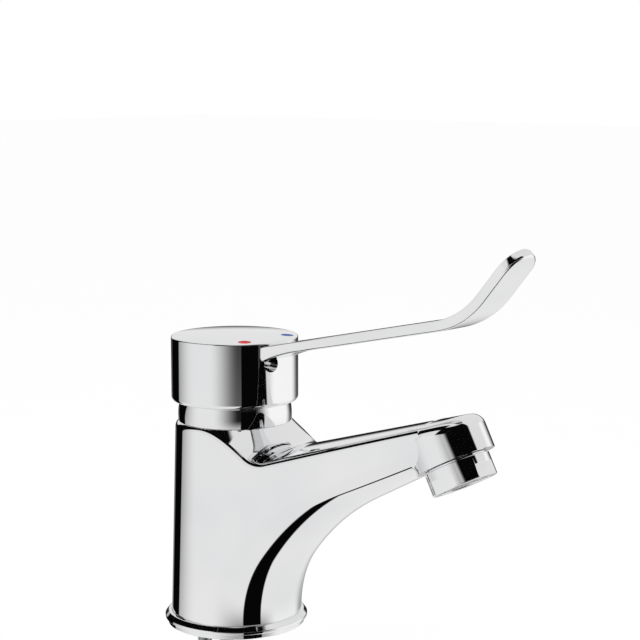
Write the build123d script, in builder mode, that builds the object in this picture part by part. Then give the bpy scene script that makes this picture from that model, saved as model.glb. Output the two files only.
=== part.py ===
from build123d import *
import math
import os

# Single lever basin tap with a long elbow lever.
# Millimetres. Origin: centre of the base on the deck. +X along the spout, +Z up.
deck_z = 0.0
overrun = 1.0

# Column and the ring at its foot
column_top_z = 83.6
column_top_r = 24.0
column_foot_r = 26.3
column_foot_z = 2.5
foot_fit = 0.1
ring_height = 5.1
ring_reach = 2.7
ring_band_inset = 1.1
ring_band_height = 2.0
ring_edge = 0.4
ring_bead_height = 1.2
ring_bore_r = 20.5
ring_slope_inset = 1.5
seal_inner_r = 22.6
seal_width = 3.2
seal_height = 1.2
seal_fit = 0.1
hollow_top_z = 24.0

# Spout from the side: its keel is a rise, three arcs and a straight run
keel_gap = 0.2
keel_low_radius = 42.0
keel_low_turn = 38.0
keel_mid_radius = 114.0
keel_mid_turn = 19.0
keel_end_radius = 140.0
keel_straight = 42.4
keel_block_height = 82.0
keel_round = 8.0
outlet_tilt = 28.0

# Spout from above, and its crowned top with the dish in front of the neck
spout_half_width = 15.2
spout_end_length = 30.0
roof_z = 67.5
roof_slope = 15.9
roof_crown_r = 60.0
dish_start_r = 22.8
dish_end_r = 42.0
dish_arc_r = 100.0
dish_round = 14.0
shoulder_round = 3.6
tip_round = 5.0

# Threaded outlet bore in the spout end, M24
outlet_bore_r = 12.0
outlet_bore_depth = 7.5
chamber_r = 8.5
chamber_height = 3.1
channel_r = 5.5

# Outlet ring, its flow straightener, screen and gasket
outlet_ring_r = 12.45
outlet_ring_length = 9.4
outlet_neck_r = 11.6
outlet_neck_length = 0.8
outlet_thread_fit = 0.06
outlet_thread_length = 5.6
outlet_wall = 1.4
outlet_lip = 1.0
outlet_lip_height = 1.2
outlet_flat_across = 23.0
outlet_flat_length = 5.2
outlet_edge = 0.5
gasket_width = 3.0
insert_fit = 0.1
insert_wall = 1.0
insert_height = 12.0
fin_width = 0.9
fin_count = 8
fin_hub_r = 2.2
screen_height = 0.8
screen_hole_r = 0.8
screen_rings = 3
screen_pitch = 2.7

# Cartridge chamber and waterways in the body
seat_z = 53.0
cartridge_r = 17.4
cartridge_fit = 0.3
inlet_x = 4.9
inlet_y = 5.6
inlet_way_r = 2.0
inlet_thread_y = 7.0
inlet_thread_r = 4.5
inlet_thread_depth = 12.0
mixed_x = -2.5
mixed_way_r = 2.6
mixed_depth = 12.0

# Cartridge shell and base
base_flange = 2.0
base_step = 2.0
base_fit = 0.1
housing_wall = 1.7
housing_roof = 2.5
housing_shoulder_z = 76.0
housing_boss_r = 14.0
housing_boss_height = 12.0
port_r = 2.1
port_seal_r = 4.2
port_seal_wall = 1.3
port_seal_height = 1.2
port_seal_fit = 0.05

# Ceramic discs and what drives them
fixed_disc_r = 15.0
disc_height = 3.5
moving_disc_r = 12.6
pocket_r = 5.5
pocket_depth = 2.0
driver_height = 6.0
driver_floor = 0.9
socket_fit = 0.1
socket_half_width = 3.2

# Spindle carrier, pin and stem
carrier_r = 10.5
carrier_fit = 0.08
carrier_top_z = 90.6
flange_r = 14.4
flange_height = 3.0
flange_gap = 0.3
slot_half_length = 8.4
slot_fit = 0.1
pin_r = 1.5
pin_fit = 0.05
pin_inset = 0.3
pivot_z = 86.0
stem_side = 8.0
stem_top_z = 112.0
arm_r = 2.0
ball_r = 2.9
ball_drop = 18.0
tilt_limit = 18.0
swing_limit = 45.0

# Stop ring round the carrier
stop_height = 3.0
stop_fit = 0.3
stop_side_fit = 0.1
lug_reach = 1.8
lug_gap = 0.3
lug_half_angle = 9.0
stop_spare_angle = 1.5

# Cartridge nut and neck ring
nut_r = 19.0
nut_fit = 0.06
nut_height = 14.0
nut_bore_fit = 0.3
nut_slot_width = 3.0
nut_slot_depth = 2.5
nut_slot_count = 3
neck_sphere_r = 22.9
neck_top_z = 97.0
neck_opening_r = 17.6
neck_roof_gap = 0.5

# Cap of the lever
cap_r = 25.5
cap_bottom_z = 91.6
cap_top_z = 118.6
cap_dome = 0.9
cap_roof = 3.6
cap_gap = 0.4
cap_top_edge = 0.8
cap_low_edge = 1.9
boss_r = 8.5
boss_bottom_z = 99.0
socket_side_fit = 0.05
socket_top_gap = 0.5

# Set screw in its recess
screw_z = 109.3
screw_angle = -12.0
screw_start = 4.5
screw_r = 2.5
screw_fit = 0.05
screw_length = 9.0
screw_tip_r = 1.5
screw_tip_length = 1.5
screw_key_across = 2.5
screw_key_depth = 2.5
recess_r = 3.3
recess_gap = 0.4
web_r = 4.6

# Colour dots
dot_r = 2.5
dot_fit = 0.05
dot_depth = 1.3
dot_inset = 0.12
dot_radius = 21.2
dot_angle = 35.5

# Lever arm from the side and from above
lever_start_x = 20.0
lever_start_z = 115.6
lever_slope = 12.2
lever_straight = 89.0
lever_bend_r = 34.0
lever_bend_turn = 37.8
lever_end_straight = 21.4
lever_thickness = 4.0
lever_root_thickness = 6.4
lever_root_length = 20.0
lever_root_half_width = 10.2
lever_half_width = 8.7
lever_taper_length = 36.0
lever_belly = 1.4

# Fixing under the deck
deck_thickness = 22.0
stud_r = 3.0
stud_x = -12.0
stud_y = 6.5
stud_fit = 0.05
stud_grip = 10.0
stud_tail = 12.0
clamp_r = 24.0
clamp_fit = 0.4
clamp_slot_x = -7.0
clamp_slot_half_width = 13.5
washer_height = 3.0
plate_height = 2.5
stud_nut_across = 10.0
stud_nut_height = 5.0

os.makedirs("parts", exist_ok=True)


def save(builder, label):
    """Label a finished piece and write it under its node name."""
    builder.part.label = label
    export_step(builder.part, f"parts/{label}.step")


def rod(plane, start, length, radius, mode=Mode.ADD):
    """Add or cut a cylinder along a plane's normal, from a height above it."""
    with BuildSketch(plane.offset(start)) as face:
        Circle(radius)
    extrude(face.sketch, amount=length, mode=mode)


def disc(z_low, z_high, radius, mode=Mode.ADD):
    """Add or cut an upright cylinder about the tap's axis."""
    rod(Plane.XY, z_low, z_high - z_low, radius, mode)


def tube(plane, start, length, outer_r, inner_r):
    """Add a plain ring along a plane's normal."""
    with BuildSketch(plane.offset(start)) as face:
        Circle(outer_r)
        Circle(inner_r, mode=Mode.SUBTRACT)
    extrude(face.sketch, amount=length)


def upright(x, y):
    """Plane parallel to the deck with its origin over a place on it."""
    return Plane(origin=(x, y, deck_z))


def turned(points):
    """Turn a closed profile, given as points of radius and height, about the tap's axis."""
    with BuildSketch(Plane.XZ) as face:
        with BuildLine():
            Polyline(*points, close=True)
        make_face()
    revolve(face.sketch, axis=Axis.Z)


def rise_along(angle):
    """Unit direction in the XZ plane that climbs by an angle from +X."""
    return Vector(math.cos(math.radians(angle)), 0, math.sin(math.radians(angle)))


# Keel line of the spout, with the outlet square to its end
draft_share = (column_foot_r - column_top_r) / (column_top_z - ring_height)
column_deck_r = column_top_r + column_top_z * draft_share
keel_r = column_deck_r + keel_gap
quarter_turn = 90
with BuildLine(Plane.XZ) as keel:
    rise = Line((keel_r, deck_z), (keel_r, ring_height))
    low = JernArc(rise @ 1, rise % 1, keel_low_radius, -keel_low_turn)
    mid = JernArc(low @ 1, low % 1, keel_mid_radius, -keel_mid_turn)
    end_turn = quarter_turn - keel_low_turn - keel_mid_turn - outlet_tilt
    bow = JernArc(mid @ 1, mid % 1, keel_end_radius, -end_turn)
    run = Line(bow @ 1, bow @ 1 + (bow % 1) * keel_straight)
outlet_centre = run @ 1
outlet_forward = rise_along(outlet_tilt)
outlet_up = rise_along(outlet_tilt + quarter_turn)
outlet_plane = Plane(origin=outlet_centre, x_dir=(0, 1, 0), z_dir=outlet_up)

# Body, one casting. Its outside is the plan shape, cut by the keel and by the roof
roof_plane = Plane(origin=(0, 0, roof_z), x_dir=(0, 1, 0), z_dir=rise_along(roof_slope))
roof_rise_share = math.tan(math.radians(roof_slope))
hull_tip_x = outlet_centre.X - spout_end_length * math.sin(math.radians(outlet_tilt)) + spout_half_width / 2
hull_top_z = column_top_z + spout_end_length

with BuildPart() as hull:
    for level in (column_foot_z, hull_top_z):
        with BuildSketch(Plane.XY.offset(level)):
            Circle(column_deck_r - level * draft_share)
            with Locations((hull_tip_x, 0)):
                Circle(spout_half_width + (outlet_centre.Z - level) * draft_share)
            make_hull()
    loft(ruled=True)

with BuildPart() as keel_block:
    with BuildSketch(Plane(origin=keel.line @ 0, x_dir=(0, 1, 0), z_dir=keel.line % 0)):
        with BuildLine():
            ThreePointArc((-keel_r, keel_r), (0, 0), (keel_r, keel_r))
            Polyline(
                (keel_r, keel_r),
                (keel_r, keel_block_height),
                (-keel_r, keel_block_height),
                (-keel_r, keel_r),
            )
        make_face()
    sweep(path=keel.line)

with BuildPart() as roof:
    with BuildSketch(roof_plane.offset(-column_deck_r)):
        with Locations((0, -roof_crown_r)):
            Circle(roof_crown_r)
    extrude(amount=hull_tip_x + 3 * column_deck_r)

with BuildPart() as dish:
    # drawn behind the column, so that the seam of the turned face lies there
    with BuildSketch(Plane(origin=(0, 0, 0), x_dir=(-1, 0, 0), z_dir=(0, 1, 0))):
        with BuildLine():
            Line((0, column_top_z), (dish_start_r, column_top_z))
            RadiusArc((dish_start_r, column_top_z), (dish_end_r, roof_z), -dish_arc_r)
            Polyline((dish_end_r, roof_z), (dish_end_r, deck_z), (0, deck_z), (0, column_top_z))
        make_face()
    revolve(axis=Axis.Z)

with BuildPart() as tip:
    rod(outlet_plane, 0, spout_end_length, spout_half_width)
    add(roof.part, mode=Mode.INTERSECT)
    fillet(tip.edges().sort_by(Axis.Z)[-1], tip_round)


def below_roof(edge):
    """How far an edge's centre lies under the roof's line."""
    return roof_z + roof_rise_share * edge.center().X - edge.center().Z


def on_crossing(edge):
    """Tell the edge where the dish meets the roof."""
    middle = edge.center()
    return abs(middle.Y) < overrun and dish_start_r + overrun < middle.X < dish_end_r and middle.Z > roof_z


def on_shoulder(edge):
    """Tell the outer edges of the roof and of the dish, short of the spout's end."""
    middle = edge.center()
    short_of_end = (middle - outlet_centre).dot(outlet_forward) < -overrun
    return short_of_end and abs(middle.Y) > overrun and abs(below_roof(edge)) < 2 * shoulder_round


def on_keel_side(edge):
    """Tell the long edges between the spout's sides and its underside."""
    middle = edge.center()
    low_enough = below_roof(edge) > 2 * shoulder_round + overrun and middle.Z > ring_height + overrun
    return low_enough and abs(middle.Y) > spout_half_width + overrun and middle.X > column_foot_r / 4


with BuildPart() as body:
    add(roof.part)
    add(dish.part)
    add(hull.part, mode=Mode.INTERSECT)
    add(keel_block.part, mode=Mode.INTERSECT)
    fillet(body.edges().filter_by(on_crossing), dish_round)
    fillet(body.edges().filter_by(on_shoulder), shoulder_round)
    fillet(body.edges().filter_by(on_keel_side), keel_round)
    add(tip.part)
    # the foot is round where it stands in the ring
    with BuildSketch(Plane.XY) as outside:
        Circle(2 * column_deck_r)
        Circle(column_foot_r, mode=Mode.SUBTRACT)
    extrude(outside.sketch, amount=ring_height, mode=Mode.SUBTRACT)
    # hollow under the column, and the cartridge chamber with its thread
    disc(column_foot_z - overrun, hollow_top_z, ring_bore_r, Mode.SUBTRACT)
    disc(seat_z, column_top_z + overrun, cartridge_r + cartridge_fit, Mode.SUBTRACT)
    disc(housing_shoulder_z - overrun, column_top_z + overrun, nut_r + nut_fit, Mode.SUBTRACT)
    # two inlets with their threads, and the way of the mixed water to the outlet
    for side in (1, -1):
        way_plane = upright(inlet_x, side * inlet_y)
        rod(way_plane, hollow_top_z, seat_z - hollow_top_z + overrun, inlet_way_r, Mode.SUBTRACT)
        thread_plane = upright(inlet_x, side * inlet_thread_y)
        rod(thread_plane, hollow_top_z - overrun, inlet_thread_depth + overrun, inlet_thread_r, Mode.SUBTRACT)
        stud_plane = upright(stud_x, side * stud_y)
        rod(stud_plane, hollow_top_z - overrun, stud_grip + overrun, stud_r + stud_fit, Mode.SUBTRACT)
    mixed_z = seat_z - mixed_depth
    rod(upright(mixed_x, 0), mixed_z, mixed_depth + overrun, mixed_way_r, Mode.SUBTRACT)
    gallery_plane = Plane(origin=(mixed_x, 0, mixed_z), x_dir=(0, 1, 0), z_dir=(1, 0, 0))
    gallery_end = inlet_x + inlet_way_r + channel_r
    rod(gallery_plane, -mixed_way_r, gallery_end - mixed_x + mixed_way_r, mixed_way_r, Mode.SUBTRACT)
    channel_start = Vector(gallery_end, 0, mixed_z)
    chamber_middle = outlet_bore_depth + chamber_height / 2
    channel_end = outlet_centre + outlet_up * chamber_middle - outlet_forward * (chamber_r / 2)
    channel_way = channel_end - channel_start
    channel_plane = Plane(origin=channel_start, x_dir=(0, 1, 0), z_dir=channel_way)
    rod(channel_plane, 0, channel_way.length, channel_r, Mode.SUBTRACT)
    rod(outlet_plane, -overrun, outlet_bore_depth + overrun, outlet_bore_r, Mode.SUBTRACT)
    rod(outlet_plane, 0, outlet_bore_depth + chamber_height, chamber_r, Mode.SUBTRACT)
save(body, "body")

# Ring at the foot of the column and the seal underneath it
ring_r = column_foot_r + ring_reach
with BuildPart() as base_ring:
    seal_outer_r = seal_inner_r + seal_width
    ring_foot_r = ring_r - ring_band_inset
    turned([
        (ring_bore_r, deck_z),
        (seal_inner_r - seal_fit, deck_z),
        (seal_inner_r - seal_fit, seal_height),
        (seal_outer_r + seal_fit, seal_height),
        (seal_outer_r + seal_fit, deck_z),
        (ring_foot_r, deck_z),
        (ring_foot_r, ring_band_height),
        (ring_r, ring_band_height),
        (ring_r, ring_band_height + ring_bead_height),
        (ring_r - ring_slope_inset, ring_height),
        (column_foot_r + foot_fit, ring_height),
        (column_foot_r + foot_fit, column_foot_z),
        (ring_bore_r, column_foot_z),
    ])
    circles = base_ring.edges().filter_by(GeomType.CIRCLE)
    fillet(circles.filter_by(lambda e: e.radius > column_foot_r + overrun), ring_edge)
save(base_ring, "base_ring")

with BuildPart() as base_seal:
    tube(Plane.XY, deck_z, seal_height, seal_outer_r, seal_inner_r)
save(base_seal, "base_seal")

# Cartridge: base with its ports and seals, then the housing over it
base_top_z = seat_z + base_flange + base_step
housing_foot_z = seat_z + base_flange
cavity_r = cartridge_r - housing_wall
cavity_top_z = housing_shoulder_z - housing_roof
housing_top_z = housing_shoulder_z + housing_boss_height
port_places = [(inlet_x, inlet_y, port_r), (inlet_x, -inlet_y, port_r), (mixed_x, 0, mixed_way_r)]

with BuildPart() as cartridge_base:
    disc(seat_z, housing_foot_z, cartridge_r)
    disc(housing_foot_z, base_top_z, cavity_r - base_fit)
    for x, y, radius in port_places:
        rod(upright(x, y), seat_z, base_flange + base_step, radius, Mode.SUBTRACT)
        rod(upright(x, y), seat_z, port_seal_height, port_seal_r + port_seal_fit, Mode.SUBTRACT)
save(cartridge_base, "cartridge_base")

with BuildPart() as port_seals:
    for x, y, radius in port_places:
        tube(upright(x, y), seat_z, port_seal_height, port_seal_r, port_seal_r - port_seal_wall)
save(port_seals, "port_seals")

with BuildPart() as cartridge_housing:
    disc(housing_foot_z, housing_shoulder_z, cartridge_r)
    disc(housing_shoulder_z, housing_top_z, housing_boss_r)
    disc(housing_foot_z, cavity_top_z, cavity_r, Mode.SUBTRACT)
    disc(cavity_top_z, housing_top_z, carrier_r + carrier_fit, Mode.SUBTRACT)
save(cartridge_housing, "cartridge_housing")

# Ceramic discs. Lifting the lever slides the upper one and its driver along +X
disc_travel = ball_drop * math.sin(math.radians(tilt_limit))
closed_x = -disc_travel / 2
fixed_top_z = base_top_z + disc_height
moving_top_z = fixed_top_z + disc_height
closed_plane = upright(closed_x, 0)

with BuildPart() as fixed_disc:
    disc(base_top_z, fixed_top_z, fixed_disc_r)
    for x, y, radius in port_places:
        rod(upright(x, y), base_top_z, disc_height, radius, Mode.SUBTRACT)
save(fixed_disc, "fixed_disc")

with BuildPart() as moving_disc:
    rod(closed_plane, fixed_top_z, disc_height, moving_disc_r)
    rod(closed_plane, fixed_top_z, pocket_depth, pocket_r, Mode.SUBTRACT)
save(moving_disc, "moving_disc")

with BuildPart() as disc_driver:
    rod(closed_plane, moving_top_z, driver_height, moving_disc_r)
    with BuildSketch(Plane.XY.offset(moving_top_z + driver_floor)) as socket_face:
        Rectangle(2 * (ball_r + socket_fit), 2 * socket_half_width)
    extrude(socket_face.sketch, amount=driver_height, mode=Mode.SUBTRACT)
save(disc_driver, "disc_driver")

# Spindle carrier with its slot and stop lug, and the pin on which the stem tilts
flange_z = moving_top_z + driver_height + flange_gap
pivot_plane = Plane(origin=(0, 0, pivot_z), x_dir=(1, 0, 0), z_dir=(0, 1, 0))
stop_r = carrier_r + lug_reach
lug_low_z = housing_top_z + lug_gap
lug_high_z = carrier_top_z - lug_gap
pin_half_length = math.sqrt(carrier_r**2 - pin_r**2) - pin_inset


def sector(z_low, z_high, inner_r, outer_r, half_angle, mode=Mode.ADD):
    """Add or cut an upright piece of a ring, centred on the spout's side."""
    spread = 4 * outer_r
    with BuildSketch(Plane.XY.offset(z_low)) as face:
        Circle(outer_r)
        Circle(inner_r, mode=Mode.SUBTRACT)
        with BuildLine():
            corner = Vector(spread, 0).rotate(Axis.Z, half_angle)
            Polyline((0, 0), (corner.X, -corner.Y), (spread, 0), (corner.X, corner.Y), close=True)
        make_face(mode=Mode.INTERSECT)
    extrude(face.sketch, amount=z_high - z_low, mode=mode)


with BuildPart() as spindle_carrier:
    disc(flange_z, flange_z + flange_height, flange_r)
    disc(flange_z, carrier_top_z, carrier_r)
    sector(lug_low_z, lug_high_z, carrier_r - overrun, stop_r, lug_half_angle)
    with BuildSketch(Plane.XY.offset(flange_z)) as slot_face:
        Rectangle(2 * slot_half_length, stem_side + 2 * slot_fit)
    extrude(slot_face.sketch, amount=carrier_top_z - flange_z, mode=Mode.SUBTRACT)
    rod(pivot_plane, -carrier_r, 2 * carrier_r, pin_r, Mode.SUBTRACT)
save(spindle_carrier, "spindle_carrier")

with BuildPart() as pivot_pin:
    rod(pivot_plane, -pin_half_length, 2 * pin_half_length, pin_r)
save(pivot_pin, "pivot_pin")

with BuildPart() as control_stem:
    with BuildSketch(Plane.XY.offset(pivot_z)) as stem_face:
        Rectangle(stem_side, stem_side)
    extrude(stem_face.sketch, amount=stem_top_z - pivot_z)
    rod(pivot_plane, -stem_side / 2, stem_side, stem_side / 2)
    disc(pivot_z - ball_drop, pivot_z, arm_r)
    with Locations((0, 0, pivot_z - ball_drop)):
        Sphere(ball_r)
    rod(pivot_plane, -stem_side, 2 * stem_side, pin_r + pin_fit, Mode.SUBTRACT)
save(control_stem, "control_stem")

# Stop ring on the housing: the carrier's lug swings in its window
window_half_angle = swing_limit + lug_half_angle + stop_spare_angle
with BuildPart() as temperature_stop:
    tube(Plane.XY, housing_top_z, stop_height, housing_boss_r - stop_side_fit, carrier_r + stop_fit)
    sector(housing_top_z, housing_top_z + stop_height, carrier_r, stop_r + lug_gap, window_half_angle, Mode.SUBTRACT)
save(temperature_stop, "temperature_stop")

# Cartridge nut, and the neck ring over it
nut_top_z = housing_shoulder_z + nut_height
with BuildPart() as cartridge_nut:
    tube(Plane.XY, housing_shoulder_z, nut_height, nut_r, housing_boss_r + nut_bore_fit)
    with BuildSketch(Plane.XY.offset(nut_top_z - nut_slot_depth)) as slots_face:
        with PolarLocations(0, nut_slot_count, angular_range=2 * quarter_turn):
            Rectangle(3 * nut_r, nut_slot_width)
    extrude(slots_face.sketch, amount=nut_slot_depth, mode=Mode.SUBTRACT)
save(cartridge_nut, "cartridge_nut")

with BuildPart() as neck_ring:
    with Locations((0, 0, pivot_z)):
        Sphere(neck_sphere_r)
    disc(column_top_z, neck_top_z, neck_sphere_r + overrun, Mode.INTERSECT)
    disc(column_top_z, nut_top_z + neck_roof_gap, nut_r + nut_fit, Mode.SUBTRACT)
    disc(column_top_z, neck_top_z, neck_opening_r, Mode.SUBTRACT)
save(neck_ring, "neck_ring")

# Lever, one casting. First the arm's side view, cut by its outline from above
arm_along = rise_along(lever_slope)
arm_under = rise_along(lever_slope - quarter_turn)
end_slope = lever_slope + lever_bend_turn
end_along = rise_along(end_slope)
end_under = rise_along(end_slope - quarter_turn)
arm_start = Vector(lever_start_x, 0, lever_start_z)
bend_start = arm_start + arm_along * lever_straight
bend_centre = bend_start - arm_under * lever_bend_r
bend_end = bend_centre + end_under * lever_bend_r
arm_end = bend_end + end_along * lever_end_straight
under_r = lever_bend_r + lever_thickness


def side(point):
    """Place of a point of the XZ plane in a sketch on that plane."""
    return (point.X, point.Z)


def on_belly(edge):
    """Tell the outer edges of the arm's underside."""
    middle = edge.center()
    if middle.X < bend_start.X:
        depth = (middle - arm_start).dot(arm_under)
    elif (middle - bend_centre).dot(end_along) < 0:
        depth = (Vector(middle.X, 0, middle.Z) - bend_centre).length - lever_bend_r
    else:
        depth = (middle - bend_end).dot(end_under)
    flank_edge = abs(middle.Y) > lever_half_width - overrun and middle.X > lever_start_x + overrun
    return depth > lever_thickness - overrun and (flank_edge or middle.X > arm_end.X)


with BuildPart() as lever_arm:
    with BuildSketch(Plane.XZ) as side_view:
        with BuildLine():
            Line(side(arm_start), side(bend_start))
            RadiusArc(side(bend_start), side(bend_end), -lever_bend_r)
            Line(side(bend_end), side(arm_end))
            Line(side(arm_end), side(arm_end + end_under * lever_thickness))
            Line(side(arm_end + end_under * lever_thickness), side(bend_end + end_under * lever_thickness))
            RadiusArc(
                side(bend_end + end_under * lever_thickness),
                side(bend_start + arm_under * lever_thickness),
                under_r,
            )
            root_low = arm_start + arm_along * lever_root_length + arm_under * lever_thickness
            Line(side(bend_start + arm_under * lever_thickness), side(root_low))
            TangentArc(
                side(root_low),
                side(arm_start + arm_under * lever_root_thickness),
                tangent=side(-arm_along),
            )
            Line(side(arm_start + arm_under * lever_root_thickness), side(arm_start))
        make_face()
    extrude(side_view.sketch, amount=lever_root_half_width, both=True)
    # narrow it over its first stretch
    with BuildSketch(Plane.XY) as flanks:
        for flank in (1, -1):
            with BuildLine():
                TangentArc(
                    (lever_start_x + lever_taper_length, flank * lever_half_width),
                    (lever_start_x, flank * lever_root_half_width),
                    tangent=(-1, 0),
                )
                Polyline(
                    (lever_start_x, flank * lever_root_half_width),
                    (lever_start_x, flank * 2 * lever_root_half_width),
                    (2 * arm_end.X, flank * 2 * lever_root_half_width),
                    (2 * arm_end.X, flank * lever_half_width),
                    (lever_start_x + lever_taper_length, flank * lever_half_width),
                )
            make_face()
    extrude(flanks.sketch, amount=2 * arm_end.Z, mode=Mode.SUBTRACT)
    # round its far end
    round_centre = arm_end - end_along * lever_half_width
    with BuildSketch(Plane(origin=round_centre, x_dir=end_along, z_dir=end_under)) as far_end:
        with Locations((lever_half_width, 0)):
            Rectangle(2 * lever_half_width, 4 * lever_half_width)
        Circle(lever_half_width, mode=Mode.SUBTRACT)
    extrude(far_end.sketch, amount=2 * lever_thickness, both=True, mode=Mode.SUBTRACT)
    fillet(lever_arm.edges().filter_by(on_belly), lever_belly)

# Then the cap with its boss for the stem, the screw's web and the dots' holes
screw_plane = Plane(
    origin=(0, 0, screw_z),
    x_dir=(0, 0, 1),
    z_dir=Vector(1, 0, 0).rotate(Axis.Z, screw_angle),
)
screw_end = screw_start + screw_length
cavity_height_z = cap_top_z - cap_roof
cap_cavity_r = neck_sphere_r + cap_gap
dome_r = (cap_r**2 + cap_dome**2) / (2 * cap_dome)
dome_turn = math.degrees(math.asin(cap_r / dome_r))
dot_top_z = cap_top_z - dome_r + math.sqrt(dome_r**2 - dot_radius**2) - dot_inset
dot_x = dot_radius * math.cos(math.radians(dot_angle))
dot_y = dot_radius * math.sin(math.radians(dot_angle))



def on_cap_rim(edge):
    """Tell the two rims of the cap from the arm's curved edges and from the dome's seam."""
    return edge.center().X < cap_r - overrun and edge.radius < cap_r + overrun


with BuildPart() as control_lever:
    with BuildSketch(Plane.XZ) as cap_view:
        with BuildLine():
            dome = JernArc((0, cap_top_z), (1, 0), dome_r, -dome_turn)
            Polyline(dome @ 1, (cap_r, cap_bottom_z), (0, cap_bottom_z), (0, cap_top_z))
        make_face()
    revolve(cap_view.sketch, axis=Axis.Z)
    add(lever_arm.part)
    rims = control_lever.edges().filter_by(GeomType.CIRCLE).filter_by(on_cap_rim)
    fillet(rims.sort_by(Axis.Z)[-1], cap_top_edge)
    rims = control_lever.edges().filter_by(GeomType.CIRCLE).filter_by(on_cap_rim)
    fillet(rims.sort_by(Axis.Z)[0], cap_low_edge)
    disc(cap_bottom_z, cavity_height_z, cap_cavity_r, Mode.SUBTRACT)
    disc(boss_bottom_z, cavity_height_z, boss_r)
    rod(screw_plane, boss_r - overrun, cap_cavity_r - boss_r + 2 * overrun, web_r)
    with BuildSketch(Plane.XY.offset(boss_bottom_z)) as socket_view:
        Rectangle(stem_side + 2 * socket_side_fit, stem_side + 2 * socket_side_fit)
    extrude(socket_view.sketch, amount=stem_top_z + socket_top_gap - boss_bottom_z, mode=Mode.SUBTRACT)
    rod(screw_plane, 0, screw_end + recess_gap, screw_r + screw_fit, Mode.SUBTRACT)
    rod(screw_plane, screw_end + recess_gap, cap_r, recess_r, Mode.SUBTRACT)
    for flank in (1, -1):
        rod(upright(dot_x, flank * dot_y), dot_top_z - dot_depth, 2 * dot_depth, dot_r + dot_fit, Mode.SUBTRACT)
save(control_lever, "control_lever")

with BuildPart() as set_screw:
    rod(screw_plane, screw_start, screw_tip_length, screw_tip_r)
    rod(screw_plane, screw_start + screw_tip_length, screw_length - screw_tip_length, screw_r)
    with BuildSketch(screw_plane.offset(screw_end - screw_key_depth)) as key_face:
        RegularPolygon(screw_key_across / 2, 6, major_radius=False)
    extrude(key_face.sketch, amount=screw_key_depth, mode=Mode.SUBTRACT)
save(set_screw, "set_screw")

with BuildPart() as hot_dot:
    rod(upright(dot_x, -dot_y), dot_top_z - dot_depth, dot_depth, dot_r)
save(hot_dot, "hot_dot")

with BuildPart() as cold_dot:
    rod(upright(dot_x, dot_y), dot_top_z - dot_depth, dot_depth, dot_r)
save(cold_dot, "cold_dot")

# Outlet ring with its thread, spanner flats and lip, then what it holds
outlet_thread_r = outlet_bore_r - outlet_thread_fit
ring_inner_r = outlet_thread_r - outlet_wall
lip_top = outlet_lip_height - outlet_ring_length
with BuildPart() as outlet_ring:
    rod(outlet_plane, -outlet_ring_length, outlet_ring_length - outlet_neck_length, outlet_ring_r)
    fillet(outlet_ring.edges().filter_by(GeomType.CIRCLE), outlet_edge)
    rod(outlet_plane, -outlet_neck_length, outlet_neck_length, outlet_neck_r)
    rod(outlet_plane, 0, outlet_thread_length, outlet_thread_r)
    rod(outlet_plane, -outlet_ring_length, outlet_ring_length, ring_inner_r - outlet_lip, Mode.SUBTRACT)
    rod(outlet_plane, lip_top, outlet_thread_length - lip_top, ring_inner_r, Mode.SUBTRACT)
    with BuildSketch(outlet_plane.offset(-outlet_ring_length)) as flats_face:
        Circle(2 * outlet_ring_r)
        Rectangle(outlet_flat_across, outlet_flat_across, mode=Mode.SUBTRACT)
    extrude(flats_face.sketch, amount=outlet_flat_length, mode=Mode.SUBTRACT)
save(outlet_ring, "outlet_ring")

insert_r = ring_inner_r - insert_fit
insert_foot = lip_top + screen_height
with BuildPart() as outlet_screen:
    rod(outlet_plane, lip_top, screen_height, insert_r)
    with BuildSketch(outlet_plane.offset(lip_top)) as holes_face:
        Circle(screen_hole_r)
        for ring_number in range(1, screen_rings + 1):
            with PolarLocations(ring_number * screen_pitch, 6 * ring_number):
                Circle(screen_hole_r)
    extrude(holes_face.sketch, amount=screen_height, mode=Mode.SUBTRACT)
save(outlet_screen, "outlet_screen")

with BuildPart() as outlet_insert:
    with BuildSketch(outlet_plane.offset(insert_foot)) as fins_face:
        Circle(insert_r)
        Circle(insert_r - insert_wall, mode=Mode.SUBTRACT)
        Circle(fin_hub_r)
        with PolarLocations((insert_r + fin_hub_r - insert_wall) / 2, fin_count):
            Rectangle(insert_r - fin_hub_r, fin_width)
    extrude(fins_face.sketch, amount=insert_height)
save(outlet_insert, "outlet_insert")

with BuildPart() as outlet_gasket:
    gasket_r = outlet_bore_r - insert_fit
    tube(outlet_plane, outlet_thread_length, outlet_bore_depth - outlet_thread_length, gasket_r, gasket_r - gasket_width)
save(outlet_gasket, "outlet_gasket")

# Fixing under the deck: two studs, horseshoe washer and plate, nuts
deck_under_z = deck_z - deck_thickness
washer_low_z = deck_under_z - washer_height
plate_low_z = washer_low_z - plate_height
nuts_low_z = plate_low_z - stud_nut_height
stud_places = [(stud_x, stud_y), (stud_x, -stud_y)]


def horseshoe(z_low, height):
    """Add a clamping piece that is open towards the spout for the hoses."""
    with BuildSketch(Plane.XY.offset(z_low)) as face:
        Circle(clamp_r)
        with Locations((clamp_slot_x + clamp_r, 0)):
            RectangleRounded(2 * clamp_r, 2 * clamp_slot_half_width, clamp_slot_half_width / 2, mode=Mode.SUBTRACT)
        with Locations(*stud_places):
            Circle(stud_r + clamp_fit, mode=Mode.SUBTRACT)
    extrude(face.sketch, amount=height)


with BuildPart() as mounting_studs:
    for place in stud_places:
        stud_foot_z = nuts_low_z - stud_tail
        rod(upright(*place), stud_foot_z, hollow_top_z + stud_grip - stud_foot_z, stud_r)
save(mounting_studs, "mounting_studs")

with BuildPart() as clamp_washer:
    horseshoe(washer_low_z, washer_height)
save(clamp_washer, "clamp_washer")

with BuildPart() as clamp_plate:
    horseshoe(plate_low_z, plate_height)
save(clamp_plate, "clamp_plate")

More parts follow.
